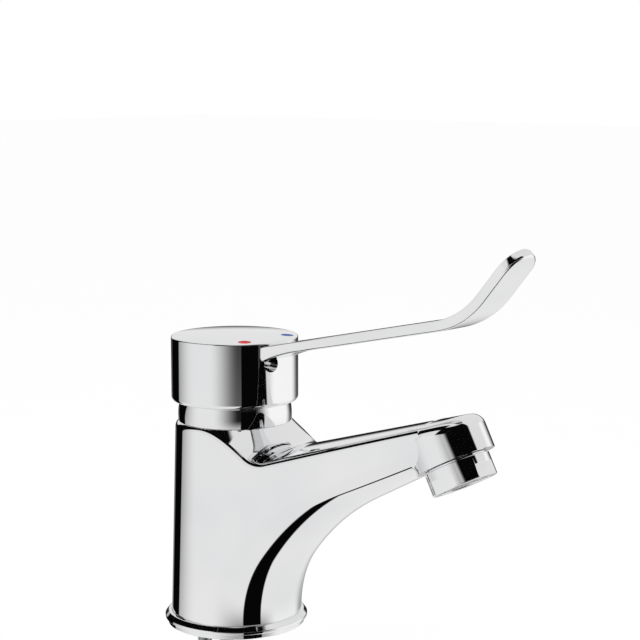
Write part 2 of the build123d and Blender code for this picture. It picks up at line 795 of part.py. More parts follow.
with BuildPart() as stud_nuts:
    with BuildSketch(Plane.XY.offset(nuts_low_z)) as nuts_face:
        with Locations(*stud_places):
            RegularPolygon(stud_nut_across / 2, 6, major_radius=False)
            Circle(stud_r + stud_fit, mode=Mode.SUBTRACT)
    extrude(nuts_face.sketch, amount=stud_nut_height)
save(stud_nuts, "stud_nuts")
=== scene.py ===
"""Looks of a single lever basin tap with a long elbow lever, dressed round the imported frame.

Sizes are in millimetres and become metres when a mesh is finished. +X runs along the spout,
+Y to the cold side, +Z up out of the deck.
"""

import logging
import math
from dataclasses import dataclass, field
from enum import Enum
from typing import Callable, Iterable, Sequence

import bmesh
import bpy
import numpy as np
from mathutils import Matrix, Vector


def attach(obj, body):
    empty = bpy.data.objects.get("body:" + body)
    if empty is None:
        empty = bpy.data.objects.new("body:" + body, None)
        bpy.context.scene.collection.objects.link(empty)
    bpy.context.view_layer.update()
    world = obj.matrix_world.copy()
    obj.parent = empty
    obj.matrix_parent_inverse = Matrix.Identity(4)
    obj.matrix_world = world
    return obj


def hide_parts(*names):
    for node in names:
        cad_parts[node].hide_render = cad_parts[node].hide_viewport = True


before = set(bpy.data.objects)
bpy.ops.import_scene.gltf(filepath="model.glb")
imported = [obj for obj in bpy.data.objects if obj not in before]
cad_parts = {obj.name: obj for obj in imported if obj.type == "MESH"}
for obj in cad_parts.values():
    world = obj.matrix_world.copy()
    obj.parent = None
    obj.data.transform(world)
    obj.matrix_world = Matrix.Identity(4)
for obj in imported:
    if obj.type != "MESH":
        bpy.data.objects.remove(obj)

LOG = logging.getLogger("tap")
MM = 0.001
AXIS_Z = Vector((0, 0, 1))
# Between these the soft noise has most of its values.
NOISE_ENDS = (0.3, 0.7)
# Points nearer than this, in millimetres, become one.
WELD = 0.0005
# Least cosine between a face's direction and the exact one that it may take.
SAME_SIDE = 0.8
Socket = bpy.types.NodeSocket


class Body(str, Enum):
    """Groups of the frame that the made pieces ride on."""

    FIXED = "fixed"
    LEVER = "lever"


class Slot(str, Enum):
    """Material slots of the record."""

    CHROME = "chrome_plate"
    SCREW = "screw_steel"
    FIXING = "fixing_steel"
    RED = "hot_red"
    BLUE = "cold_blue"
    BRASS = "nut_brass"
    SHELL = "shell_plastic"
    CARRIER = "carrier_plastic"
    STOP = "stop_plastic"
    SCREEN = "screen_plastic"
    CERAMIC = "disc_ceramic"
    RUBBER = "seal_rubber"


# Form of the casting


@dataclass(frozen=True)
class Skin:
    """Signed distances to a surface, and the outward directions there.

    Attributes:
        depth: Distance of each point, negative inside.
        way: Unit outward direction at each point.
    """

    depth: np.ndarray
    way: np.ndarray

    def flipped(self) -> "Skin":
        """Swap inside and outside."""
        return Skin(-self.depth, -self.way)

    def where(self, test: np.ndarray, other: "Skin") -> "Skin":
        """Keep this skin where the test holds, and take the other elsewhere."""
        return Skin(np.where(test, self.depth, other.depth), np.where(test[:, None], self.way, other.way))

    def cut_by(self, other: "Skin", radius: float = 0.0) -> "Skin":
        """Keep what is inside both, with the edge between them rounded.

        Args:
            other: The second skin.
            radius: Radius of the rounding.

        Returns:
            The skin of the common part.
        """
        plain = self.where(self.depth > other.depth, other)
        if radius <= 0:
            return plain
        cosine = np.clip((self.way * other.way).sum(1), -0.999, 0.9995)
        a = self.depth + radius
        b = other.depth + radius
        spread = 1 - cosine**2
        first = (a - b * cosine) / spread
        second = (b - a * cosine) / spread
        reach = first[:, None] * self.way + second[:, None] * other.way
        length = np.maximum(np.linalg.norm(reach, axis=1), 1e-9)
        rounded = Skin(length - radius, reach / length[:, None])
        return rounded.where((first > 0) & (second > 0), plain)

    def joined_to(self, other: "Skin", radius: float = 0.0) -> "Skin":
        """Keep what is inside either, with the corner between them filled.

        Args:
            other: The second skin.
            radius: Radius of the filling.

        Returns:
            The skin of both together.
        """
        return self.flipped().cut_by(other.flipped(), radius).flipped()


@dataclass(frozen=True)
class CastingForm:
    """Outer form of the casting: column, spout with its dish, and spout end."""

    column_top_z: float = 83.6
    column_top_r: float = 24.0
    column_foot_r: float = 26.3
    ring_height: float = 5.1
    keel_gap: float = 0.2
    keel_radii: tuple[float, ...] = (42.0, 114.0, 140.0)
    keel_turns: tuple[float, ...] = (38.0, 19.0, 5.0)
    keel_straight: float = 42.4
    keel_round: float = 8.0
    spout_half_width: float = 15.2
    spout_end_length: float = 30.0
    roof_z: float = 67.5
    roof_slope: float = 15.9
    roof_crown_r: float = 60.0
    dish_start_r: float = 22.8
    dish_end_r: float = 42.0
    dish_arc_r: float = 100.0
    dish_round: float = 14.0
    shoulder_round: float = 3.6
    lid_round: float = 0.5
    tip_round: float = 5.0
    end_round: float = 1.2

    def draft_share(self) -> float:
        """How much the column's radius shrinks for each millimetre of height."""
        return (self.column_foot_r - self.column_top_r) / (self.column_top_z - self.ring_height)

    def keel_r(self) -> float:
        """Radius of the underside across the spout."""
        return self.column_top_r + self.column_top_z * self.draft_share() + self.keel_gap

    def keel_knots(self) -> tuple[list[np.ndarray], list[np.ndarray], list[float]]:
        """Follow the keel from the foot.

        Returns:
            The joints between its stretches, the outward normals there, and the normals' angles.
        """
        knots = [np.array((self.keel_r(), self.ring_height))]
        angles = [180.0]
        for radius, turn in zip(self.keel_radii, self.keel_turns):
            before = np.array((math.cos(math.radians(angles[-1])), math.sin(math.radians(angles[-1]))))
            angles.append(angles[-1] - turn)
            after = np.array((math.cos(math.radians(angles[-1])), math.sin(math.radians(angles[-1]))))
            knots.append(knots[-1] - before * radius + after * radius)
        normals = [np.array((math.cos(math.radians(a)), math.sin(math.radians(a)))) for a in angles]
        return knots, normals, angles

    def outlet(self) -> tuple[Vector, Vector, Vector]:
        """Place of the outlet face.

        Returns:
            Its centre, its forward direction and its upward direction.
        """
        knots, normals, _ = self.keel_knots()
        up = Vector((normals[-1][0], 0, normals[-1][1]))
        forward = Vector((up.z, 0, -up.x))
        start = Vector((knots[-1][0], 0, knots[-1][1]))
        return start + forward * self.keel_straight, forward, up

    def plane(self, points: np.ndarray, origin: Sequence[float], way: Sequence[float]) -> Skin:
        """Skin of the half space behind a plane.

        Args:
            points: Points in millimetres.
            origin: A point of the plane.
            way: Unit direction out of the half space.

        Returns:
            Their distances and outward directions.
        """
        normal = np.asarray(way, float)
        depth = (points - np.asarray(origin, float)) @ normal
        return Skin(depth, np.broadcast_to(normal, points.shape))

    def rod(self, points: np.ndarray, origin: Sequence[float], way: Sequence[float], radius: float) -> Skin:
        """Skin of an endless round rod along a direction.

        Args:
            points: Points in millimetres.
            origin: A point of the rod's axis.
            way: Unit direction of the axis.
            radius: Radius of the rod.

        Returns:
            Their distances and outward directions.
        """
        rel = points - np.asarray(origin, float)
        along = np.asarray(way, float)
        across = rel - (rel @ along)[:, None] * along
        length = np.maximum(np.linalg.norm(across, axis=1), 1e-9)
        return Skin(length - radius, across / length[:, None])

    def outline(self, points: np.ndarray) -> Skin:
        """Skin of the plan shape, a column and a spout end with straight sides between them.

        Args:
            points: Points in millimetres.

        Returns:
            Their distances and outward directions.
        """
        centre, forward, _ = self.outlet()
        share = self.draft_share()
        tip_x = centre.x - self.spout_end_length * forward.z + self.spout_half_width / 2
        z = points[:, 2]
        near_r = self.column_top_r + (self.column_top_z - z) * share
        far_r = self.spout_half_width + (centre.z - z) * share
        lean = (near_r - far_r) / tip_x
        slant = np.sqrt(1 - lean**2)
        side = np.abs(points[:, 1])
        x = points[:, 0]
        where = -lean * side + slant * x
        way = np.zeros_like(points)
        near = np.hypot(x, side)
        far = np.hypot(x - tip_x, side)
        sign = np.where(points[:, 1] < 0, -1.0, 1.0)
        depth = np.where(where < 0, near - near_r, side * slant + x * lean - near_r)
        depth = np.where(where > slant * tip_x, far - far_r, depth)
        way[:, 0] = np.where(where < 0, x / np.maximum(near, 1e-9), lean)
        way[:, 0] = np.where(where > slant * tip_x, (x - tip_x) / np.maximum(far, 1e-9), way[:, 0])
        way[:, 1] = np.where(where < 0, side / np.maximum(near, 1e-9), slant)
        way[:, 1] = np.where(where > slant * tip_x, side / np.maximum(far, 1e-9), way[:, 1]) * sign
        way[:, 2] = share
        length = math.hypot(1, share)
        return Skin(depth / length, way / length)

    def underside(self, points: np.ndarray) -> Skin:
        """Skin of all that lies over the keel line, round across it.

        Args:
            points: Points in millimetres.

        Returns:
            Their distances and outward directions.
        """
        knots, normals, _ = self.keel_knots()
        flat = points[:, (0, 2)]
        lift = np.where(flat[:, 1] < self.ring_height, knots[0][0] - flat[:, 0], 0.0)
        way = np.tile(normals[0], (len(points), 1))
        passed = flat[:, 1] >= self.ring_height
        for index, radius in enumerate(self.keel_radii):
            centre = knots[index] - normals[index] * radius
            rel = flat - centre
            length = np.maximum(np.linalg.norm(rel, axis=1), 1e-9)
            lift = np.where(passed, length - radius, lift)
            way = np.where(passed[:, None], rel / length[:, None], way)
            tangent = np.array((normals[index + 1][1], -normals[index + 1][0]))
            passed = passed & ((flat - knots[index + 1]) @ tangent > 0)
        lift = np.where(passed, (flat - knots[-1]) @ normals[-1], lift)
        way = np.where(passed[:, None], normals[-1], way)
        radius = self.keel_r()
        deep = lift >= radius
        side = points[:, 1]
        drop = np.where(deep, 0.0, lift - radius)
        length = np.maximum(np.hypot(side, drop), 1e-9)
        out = np.stack((way[:, 0] * drop, side, way[:, 1] * drop), axis=1) / length[:, None]
        return Skin(length - radius, out)

    def top(self, points: np.ndarray) -> Skin:
        """Skin of the crowned roof.

        Args:
            points: Points in millimetres.

        Returns:
            Their distances and outward directions.
        """
        slope = math.radians(self.roof_slope)
        up = np.array((-math.sin(slope), 0, math.cos(slope)))
        origin = np.array((0, 0, self.roof_z)) - up * self.roof_crown_r
        return self.rod(points, origin, (math.cos(slope), 0, math.sin(slope)), self.roof_crown_r)

    def dish(self, points: np.ndarray) -> Skin:
        """Skin of the dished foot of the neck, turned about the column's axis.

        Args:
            points: Points in millimetres.

        Returns:
            Their distances and outward directions.
        """
        start = np.array((self.dish_start_r, self.column_top_z))
        end = np.array((self.dish_end_r, self.roof_z))
        chord = end - start
        half = np.linalg.norm(chord) / 2
        outward = np.array((-chord[1], chord[0])) / (2 * half)
        centre = (start + end) / 2 + outward * math.sqrt(self.dish_arc_r**2 - half**2)
        radius = np.maximum(np.hypot(points[:, 0], points[:, 1]), 1e-9)
        radial = np.stack((points[:, 0] / radius, points[:, 1] / radius), axis=1)
        rel = np.stack((radius - centre[0], points[:, 2] - centre[1]), axis=1)
        length = np.maximum(np.linalg.norm(rel, axis=1), 1e-9)
        inward = -np.stack((radial[:, 0] * rel[:, 0], radial[:, 1] * rel[:, 0], rel[:, 1]), axis=1)
        hollow = Skin(self.dish_arc_r - length, inward / length[:, None])
        level = np.stack((radial[:, 0], radial[:, 1], np.zeros(len(points))), axis=1)
        wall = Skin(radius - (centre[0] - self.dish_arc_r), level)
        rim = Skin(radius - self.dish_end_r, level)
        return hollow.where(rel[:, 1] < 0, wall).cut_by(rim)

    def skin(self, points: np.ndarray) -> Skin:
        """Skin of the whole casting.

        Args:
            points: Points in millimetres.

        Returns:
            Their distances and outward directions.
        """
        centre, forward, up = self.outlet()
        roof = self.top(points)
        shell = roof.joined_to(self.dish(points), self.dish_round)
        shell = shell.cut_by(self.outline(points), self.shoulder_round)
        lid = self.plane(points, (0, 0, self.column_top_z), (0, 0, 1))
        ahead = self.plane(points, (self.dish_end_r, 0, 0), (-1, 0, 0))
        shell = shell.cut_by(lid.joined_to(ahead), self.lid_round)
        shell = shell.cut_by(self.underside(points), self.keel_round)
        shell = shell.cut_by(self.plane(points, centre, forward))
        end = self.rod(points, centre, up, self.spout_half_width).cut_by(roof, self.tip_round)
        end = end.cut_by(self.plane(points, centre, -up))
        return shell.joined_to(end, self.end_round)


# Finishes


class Pen:
    """Writes the nodes of one material or of the world's background."""

    def __init__(self, tree: bpy.types.NodeTree) -> None:
        """Clear the tree and take it."""
        self.tree = tree
        tree.nodes.clear()

    def add(self, kind: str, settings: dict | None = None, **inputs: object) -> bpy.types.Node:
        """Add a node.

        Args:
            kind: Type name of the node.
            settings: Properties of the node itself.
            inputs: Values or sockets for its inputs, with underscores for spaces.

        Returns:
            The node.
        """
        node = self.tree.nodes.new(kind)
        for key, value in (settings or {}).items():
            setattr(node, key, value)
        for key, value in inputs.items():
            self.feed(node.inputs[key.replace("_", " ")], value)
        return node

    def feed(self, socket: Socket, value: object) -> None:
        """Link a socket to another, or set its value.

        Args:
            socket: The socket to feed.
            value: A socket, or a plain value.
        """
        if isinstance(value, Socket):
            self.tree.links.new(value, socket)
        else:
            socket.default_value = value

    def sums(self, operation: str, first: object, second: object = 0.0) -> Socket:
        """Do one sum on two numbers.

        Args:
            operation: The sum, in the node's own word.
            first: First number.
            second: Second number.

        Returns:
            The result.
        """
        node = self.add("ShaderNodeMath", {"operation": operation})
        self.feed(node.inputs[0], first)
        self.feed(node.inputs[1], second)
        return node.outputs[0]

    def dot(self, vector: Socket, way: Sequence[float]) -> Socket:
        """Length of a vector along a fixed direction.

        Args:
            vector: The vector.
            way: The direction.

        Returns:
            The length.
        """
        node = self.add("ShaderNodeVectorMath", {"operation": "DOT_PRODUCT"})
        self.feed(node.inputs[0], vector)
        self.feed(node.inputs[1], way)
        return node.outputs["Value"]

    def ramp(self, value: object, stops: Iterable[tuple[float, Sequence[float]]]) -> Socket:
        """Turn a number into a colour through stops.

        Args:
            value: The number.
            stops: Position and colour of each stop.

        Returns:
            The colour.
        """
        node = self.add("ShaderNodeValToRGB", Fac=value)
        elements = node.color_ramp.elements
        for index, (place, colour) in enumerate(stops):
            element = elements[index] if index < 2 else elements.new(place)
            element.position = place
            element.color = (*colour, 1.0)
        return node.outputs["Color"]

    def carry(self, value: Socket, ends: Sequence[float], kind: str) -> Socket:
        """Carry a number from one range over to another.

        Args:
            value: The number.
            ends: Low and high end of the first range, then of the second.
            kind: How it goes between the ends, in the node's own word.

        Returns:
            The number in the second range.
        """
        names = ("From_Min", "From_Max", "To_Min", "To_Max")
        settings = {"interpolation_type": kind}
        return self.add("ShaderNodeMapRange", settings, Value=value, **dict(zip(names, ends))).outputs[0]

    def spread(self, value: Socket, low: float, high: float) -> Socket:
        """Stretch a noise value over a range."""
        return self.carry(value, (*NOISE_ENDS, low, high), "LINEAR")

    def rise_over(
        self, value: Socket, start: float, end: float, low: float = 0.0, high: float = 1.0
    ) -> Socket:
        """Go smoothly from one number to another as a value passes from start to end."""
        return self.carry(value, (start, end, low, high), "SMOOTHSTEP")

    def band(self, value: Socket, low: float, high: float, soft: float) -> Socket:
        """1 between two values and 0 outside them, with soft ends."""
        past = self.step_at(value, low, soft)
        return self.sums("MULTIPLY", past, self.step_at(value, high, soft, down=True))

    def step_at(self, value: Socket, place: float, soft: float, down: bool = False) -> Socket:
        """0 short of a place and 1 past it, or the other way round."""
        ends = (1.0, 0.0) if down else (0.0, 1.0)
        return self.rise_over(value, place - soft / 2, place + soft / 2, *ends)

    def blend(self, share: Socket, first: Socket | float, second: Socket | float) -> Socket:
        """Blend two numbers by a share.

        Args:
            share: 0 for the first, 1 for the second.
            first: First number.
            second: Second number.

        Returns:
            The blend.
        """
        node = self.add("ShaderNodeMix")
        for index, value in ((0, share), (2, first), (3, second)):
            self.feed(node.inputs[index], value)
        return node.outputs[0]

    def mix(self, share: Socket, first: Socket, second: Socket) -> Socket:
        """Mix two shaders by a share.

        Args:
            share: 0 for the first, 1 for the second.
            first: First shader.
            second: Second shader.

        Returns:
            The mixed shader.
        """
        node = self.add("ShaderNodeMixShader", Fac=share)
        self.feed(node.inputs[1], first)
        self.feed(node.inputs[2], second)
        return node.outputs[0]

    def finish(self, kind: str, surface: Socket) -> None:
        """Link a shader to the tree's output."""
        self.feed(self.add(kind).inputs["Surface"], surface)

    def place(self, stretch: Sequence[float] = (1, 1, 1)) -> Socket:
        """Object coordinates, stretched.

        Args:
            stretch: Scale along each axis.

        Returns:
            The coordinates.
        """
        coords = self.add("ShaderNodeTexCoord")
        mapping = self.add("ShaderNodeMapping", Vector=coords.outputs["Object"], Scale=stretch)
        return mapping.outputs["Vector"]

    def noise(self, where: Socket, scale: float, detail: float = 3.0) -> Socket:
        """Soft noise."""
        return self.add("ShaderNodeTexNoise", Vector=where, Scale=scale, Detail=detail).outputs["Fac"]


@dataclass(frozen=True)
class Finish:
    """Surface of a made part.

    Attributes:
        name: Name of the material.
        colour: Its main colour.
        worn: Its colour where it is rubbed or patchy.
        metallic: Share of metal.
        rough: Lowest and highest roughness.
        grain: Scale of the fine grain, per metre.
        patch: Scale of the broad patches, per metre.
        relief: Depth of the grain in metres.
        stretch: How the grain is drawn out along each axis.
        coat: Weight of a clear coat.
        shine: Strength of the plain reflection.
    """

    name: str
    colour: tuple[float, float, float]
    worn: tuple[float, float, float]
    metallic: float = 0.0
    rough: tuple[float, float] = (0.35, 0.5)
    grain: float = 2500.0
    patch: float = 60.0
    relief: float = 0.00002
    stretch: tuple[float, float, float] = (1.0, 1.0, 1.0)
    coat: float = 0.0
    shine: float = 0.5

    def material(self) -> bpy.types.Material:
        """The material, made at its first use.

        Returns:
            The material.
        """
        known = bpy.data.materials.get(self.name)
        if known:
            return known
        material = bpy.data.materials.new(self.name)
        material.use_nodes = True
        pen = Pen(material.node_tree)
        shader = pen.add("ShaderNodeBsdfPrincipled", Metallic=self.metallic)
        shader.inputs["Coat Weight"].default_value = self.coat
        shader.inputs["Specular IOR Level"].default_value = self.shine
        self.dress(pen, shader)
        pen.finish("ShaderNodeOutputMaterial", shader.outputs[0])
        return material

    def dress(self, pen: Pen, shader: bpy.types.Node) -> None:
        """Give the shader its patches, grain and relief.

        Args:
            pen: Pen of the material.
            shader: Its shader.
        """
        grain = pen.noise(pen.place(self.stretch), self.grain)
        patch = pen.noise(pen.place(), self.patch)
        both = pen.sums("ADD", pen.sums("MULTIPLY", patch, 0.7), pen.sums("MULTIPLY", grain, 0.3))
        pen.feed(shader.inputs["Base Color"], pen.ramp(both, ((0.35, self.colour), (0.68, self.worn))))
        pen.feed(shader.inputs["Roughness"], pen.spread(both, *self.rough))
        bump = pen.add("ShaderNodeBump", Height=grain, Strength=0.6, Distance=self.relief)
        pen.feed(shader.inputs["Normal"], bump.outputs[0])


@dataclass(frozen=True)
class Plating(Finish):
    """Polished plating: a slow swell from hand polishing, and hairline wipe marks."""

    swell: float = 45.0
    swell_depth: float = 0.00001
    hairline: float = 900.0

    def dress(self, pen: Pen, shader: bpy.types.Node) -> None:
        """Give the shader its tone, wipe marks and swell.

        Args:
            pen: Pen of the material.
            shader: Its shader.
        """
        where = pen.place()
        patch = pen.noise(where, self.patch, 2.0)
        pen.feed(shader.inputs["Base Color"], pen.ramp(patch, ((0.3, self.colour), (0.7, self.worn))))
        marks = pen.noise(pen.place((1.0, 1.0, 0.06)), self.hairline, 5.0)
        pen.feed(shader.inputs["Roughness"], pen.spread(marks, *self.rough))
        swell = pen.noise(where, self.swell, 1.0)
        bump = pen.add("ShaderNodeBump", Height=swell, Strength=0.5, Distance=self.swell_depth)
        pen.feed(shader.inputs["Normal"], bump.outputs[0])


@dataclass(frozen=True)
class Turned(Finish):
    """Machined metal with fine tool rings round the upright axis."""

    ring_pitch: float = 700.0

    def dress(self, pen: Pen, shader: bpy.types.Node) -> None:
        """Give the shader its tool rings and dull patches.

        Args:
            pen: Pen of the material.
            shader: Its shader.
        """
        where = pen.place()
        level = {"bands_direction": "Z"}
        wave = pen.add("ShaderNodeTexWave", level, Vector=where, Scale=self.ring_pitch, Distortion=1.5)
        rings = wave.outputs["Fac"]
        patch = pen.noise(where, self.patch)
        pen.feed(shader.inputs["Base Color"], pen.ramp(patch, ((0.35, self.colour), (0.65, self.worn))))
        pen.feed(shader.inputs["Roughness"], pen.spread(pen.sums("MULTIPLY", rings, patch), *self.rough))
        bump = pen.add("ShaderNodeBump", Height=rings, Strength=0.3, Distance=self.relief)
        pen.feed(shader.inputs["Normal"], bump.outputs[0])


CHROME = Plating(
    "bright chrome plate", (0.80, 0.805, 0.815), (0.86, 0.86, 0.865), 1.0, (0.012, 0.04), patch=25.0
)
STAINLESS = Turned(
    "stainless steel", (0.42, 0.43, 0.45), (0.58, 0.58, 0.59), 1.0, (0.2, 0.38), relief=0.00001
)
ZINC = Turned("zinc plated steel", (0.50, 0.52, 0.54), (0.66, 0.66, 0.62), 1.0, (0.25, 0.45), patch=140.0)
BRASS = Turned("turned brass", (0.62, 0.44, 0.17), (0.75, 0.58, 0.27), 1.0, (0.2, 0.42), patch=90.0)
RED = Finish(
    "hot red enamel", (0.52, 0.006, 0.008), (0.64, 0.014, 0.014), 0.0, (0.38, 0.5), 1800.0,
    relief=0.000006, shine=0.06,
)
BLUE = Finish(
    "cold blue enamel", (0.006, 0.05, 0.26), (0.012, 0.085, 0.36), 0.0, (0.38, 0.5), 1800.0,
    relief=0.000006, shine=0.06,
)
SHELL = Finish("white moulded plastic", (0.74, 0.74, 0.71), (0.81, 0.81, 0.79), 0.0, (0.35, 0.55))
CARRIER = Finish("grey moulded plastic", (0.17, 0.18, 0.19), (0.24, 0.25, 0.26), 0.0, (0.35, 0.55))
STOP = Finish("red moulded plastic", (0.52, 0.05, 0.03), (0.62, 0.09, 0.06), 0.0, (0.35, 0.5))
SCREEN = Finish("clouded screen plastic", (0.62, 0.64, 0.65), (0.72, 0.73, 0.74), 0.0, (0.3, 0.45))
CERAMIC = Finish(
    "ground ceramic", (0.80, 0.78, 0.72), (0.88, 0.86, 0.81), 0.0, (0.12, 0.22), 5000.0, relief=0.000004
)
RUBBER = Finish(
    "black seal rubber", (0.018, 0.018, 0.019), (0.035, 0.035, 0.036), 0.0, (0.6, 0.8), 1500.0,
    relief=0.00006,
)


# Bench: how a piece is made


@dataclass(frozen=True)
class Corner:
    """Corner of a turned profile, with the radius that breaks it."""

    r: float
    z: float
    broken: float = 0.0


def rounded(corners: Sequence[Corner], steps: int = 5) -> list[Vector]:
    """Follow a closed profile with its corners broken.

    Args:
        corners: The corners in order.
        steps: Facets in each broken corner.

    Returns:
        Points of radius and height, as x and z.
    """
    points = []
    for index, corner in enumerate(corners):
        here = Vector((corner.r, 0, corner.z))
        if not corner.broken:
            points.append(here)
            continue
        before = corners[index - 1]
        after = corners[(index + 1) % len(corners)]
        back = (Vector((before.r, 0, before.z)) - here).normalized()
        ahead = (Vector((after.r, 0, after.z)) - here).normalized()
        half = back.angle(ahead) / 2
        middle = here + (back + ahead).normalized() * (corner.broken / math.sin(half))
        start = here + back * (corner.broken / math.tan(half)) - middle
        end = here + ahead * (corner.broken / math.tan(half)) - middle
        for step in range(steps + 1):
            points.append(middle + start.slerp(end, step / steps).normalized() * corner.broken)
    return points


def spun(points: Sequence[Vector], steps: int = 160, closed: bool = True) -> bmesh.types.BMesh:
    """Turn a profile about the upright axis.

    Args:
        points: Points of radius and height, as x and z.
        steps: Facets round the axis.
        closed: Whether the last point joins the first.

    Returns:
        The turned mesh in millimetres.
    """
    work = bmesh.new()
    corners = [work.verts.new(point) for point in points]
    pairs = list(zip(corners, corners[1:])) + ([(corners[-1], corners[0])] if closed else [])
    edges = [work.edges.new(pair) for pair in pairs]
    bmesh.ops.spin(
        work, geom=corners + edges, cent=(0, 0, 0), axis=AXIS_Z, angle=math.tau, steps=steps, use_merge=True
    )
    bmesh.ops.remove_doubles(work, verts=work.verts, dist=WELD)
    bmesh.ops.recalc_face_normals(work, faces=work.faces)
    return work


def baked(made: bpy.types.Object) -> bpy.types.Mesh:
    """Apply an object's modifiers, and clear them.

    Args:
        made: The object.

    Returns:
        Its mesh with the modifiers applied, not yet on the object.
    """
    mesh = bpy.data.meshes.new_from_object(made.evaluated_get(bpy.context.evaluated_depsgraph_get()))
    made.modifiers.clear()
    return mesh


def read(items: bpy.types.bpy_prop_collection, name: str, width: int = 1, kind: type = float) -> np.ndarray:
    """Read one property of all items of a mesh.

    Args:
        items: Its vertices, corners or faces.
        name: The property.
        width: How many numbers each item has.
        kind: float or int.

    Returns:
        One row for each item, or one number where the width is 1.
    """
    values = np.zeros(len(items) * width, kind)
    items.foreach_get(name, values)
    return values.reshape(-1, width) if width > 1 else values


NormalRule = Callable[[np.ndarray], tuple[np.ndarray, np.ndarray]]


def lay_exact_normals(mesh: bpy.types.Mesh, rule: NormalRule) -> None:
    """Give a mesh the directions of its exact form, on the faces that lie wholly on it.

    Args:
        mesh: The mesh in metres, shaded already.
        rule: Tells for places in millimetres whether they lie on the form, and its directions there.
    """
    way = read(mesh.corner_normals, "vector", 3)
    owner = read(mesh.loops, "vertex_index", kind=int)
    ways = read(mesh.polygons, "normal", 3)
    counts = read(mesh.polygons, "loop_total", kind=int)
    face = np.repeat(np.arange(len(counts)), counts)
    known, exact = rule(read(mesh.vertices, "co", 3) / MM)
    near = known[owner]
    whole = np.bincount(face, near, len(counts)) == counts
    agree = (exact[owner] * ways[face]).sum(1) > SAME_SIDE
    take = near & whole[face] & agree
    mesh.normals_split_custom_set(np.where(take[:, None], exact[owner], way))


@dataclass
class Piece:
    """One finished object of the visual model.

    Attributes:
        name: Name of the object.
        finish: Its finish.
        slot: Material slot of the record; not used.
        body: Moving group that carries it.
        stands_for: Nodes of the frame that it takes the place of.
        crease: Angle in degrees over which an edge stays sharp.
    """

    name: str
    finish: Finish
    slot: Slot
    body: Body = Body.FIXED
    stands_for: tuple[str, ...] = ()
    crease: float = 28.0

    def blank(self, work: bmesh.types.BMesh, place: Matrix | None = None) -> bpy.types.Object:
        """Turn a mesh in millimetres into an object in metres.

        Args:
            work: The mesh, freed afterwards.
            place: Where it goes, in millimetres.

        Returns:
            The object, not yet on a body.
        """
        bmesh.ops.transform(work, matrix=Matrix.Scale(MM, 4) @ (place or Matrix()), verts=work.verts)
        mesh = bpy.data.meshes.new(self.name)
        work.to_mesh(mesh)
        work.free()
        mesh.materials.append(self.finish.material())
        made = bpy.data.objects.new(self.name, mesh)
        bpy.context.scene.collection.objects.link(made)
        return made

    def shade(self, made: bpy.types.Object, rule: NormalRule | None = None) -> None:
        """Bake the modifiers, then shade the mesh smooth up to its creases.

        Args:
            made: The object.
            rule: Gives the exact outward directions where they are known.
        """
        flat = baked(made)
        made.data = flat
        flat.name = self.name
        flat.polygons.foreach_set("use_smooth", np.ones(len(flat.polygons), bool))
        flat.set_sharp_from_angle(angle=math.radians(self.crease))
        even = made.modifiers.new("even shading", "WEIGHTED_NORMAL")
        even.keep_sharp = True
        if rule:
            mesh = baked(made)
            lay_exact_normals(mesh, rule)
            made.data = mesh

    def deliver(self, made: bpy.types.Object, rule: NormalRule | None = None) -> bpy.types.Object:
        """Shade the object, put it on its body and report it.

        Args:
            made: The object.
            rule: Gives the exact outward directions where they are known.

        Returns:
            The object.
        """
        self.shade(made, rule)
        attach(made, self.body.value)
        if self.stands_for:
            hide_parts(*self.stands_for)
        LOG.info("%s: %d faces, rides on %s", self.name, len(made.data.polygons), self.body.value)
        return made


def cut(made: bpy.types.Object, tool: bmesh.types.BMesh, operation: str = "DIFFERENCE") -> None:
    """Cut an object with a mesh given in millimetres.

    Args:
        made: The object to cut.
        tool: The cutting mesh, freed afterwards.
        operation: Boolean operation.
    """
    bmesh.ops.scale(tool, vec=(MM, MM, MM), verts=tool.verts)
    bmesh.ops.recalc_face_normals(tool, faces=tool.faces)
    mesh = bpy.data.meshes.new("cutter")
    tool.to_mesh(mesh)
    tool.free()
    cutter = bpy.data.objects.new("cutter", mesh)
    bpy.context.scene.collection.objects.link(cutter)
    step = made.modifiers.new("cut", "BOOLEAN")
    step.operation = operation
    step.solver = "EXACT"
    step.object = cutter
    made.data = baked(made)
    bpy.data.objects.remove(cutter)


def rod_tool(radius: float, low: float, high: float, place: Matrix, facets: int = 64) -> bmesh.types.BMesh:
    """Make a closed rod along the local Z of a place.

    Args:
        radius: Its radius.
        low: Start along Z.
        high: End along Z.
        place: The place.
        facets: Number of sides.

    Returns:
        The rod's mesh.
    """
    tool = bmesh.new()
    middle = place @ Matrix.Translation((0, 0, (low + high) / 2))
    bmesh.ops.create_cone(
        tool, cap_ends=True, segments=facets, radius1=radius, radius2=radius, depth=high - low,
        matrix=middle,
    )
    return tool


def break_edges(
    work: bmesh.types.BMesh, edges: list[bmesh.types.BMEdge], radius: float, steps: int
) -> None:
    """Round some edges off.

    Args:
        work: The mesh.
        edges: The edges.
        radius: How far the rounding reaches.
        steps: Facets across it.
    """
    bmesh.ops.bevel(
        work, geom=edges, offset=radius, segments=steps, profile=0.5, affect="EDGES", material=-1
    )


def move(made: bpy.types.Object, place: Matrix) -> None:
    """Move an object's mesh, in metres, to a place in millimetres."""
    made.data.transform(Matrix.Scale(MM, 4) @ place @ Matrix.Scale(1 / MM, 4))


def slice_at(work: bmesh.types.BMesh, place: Vector, way: Vector, clear: bool = False) -> None:
    """Cut a mesh through at a plane.

    Args:
        work: The mesh.
        place: A point of the plane.
        way: Direction square to the plane.
        clear: Whether to take away what lies out along that direction.
    """
    everything = [*work.verts, *work.edges, *work.faces]
    bmesh.ops.bisect_plane(
        work, geom=everything, dist=0.0001, plane_co=place, plane_no=way, clear_outer=clear
    )


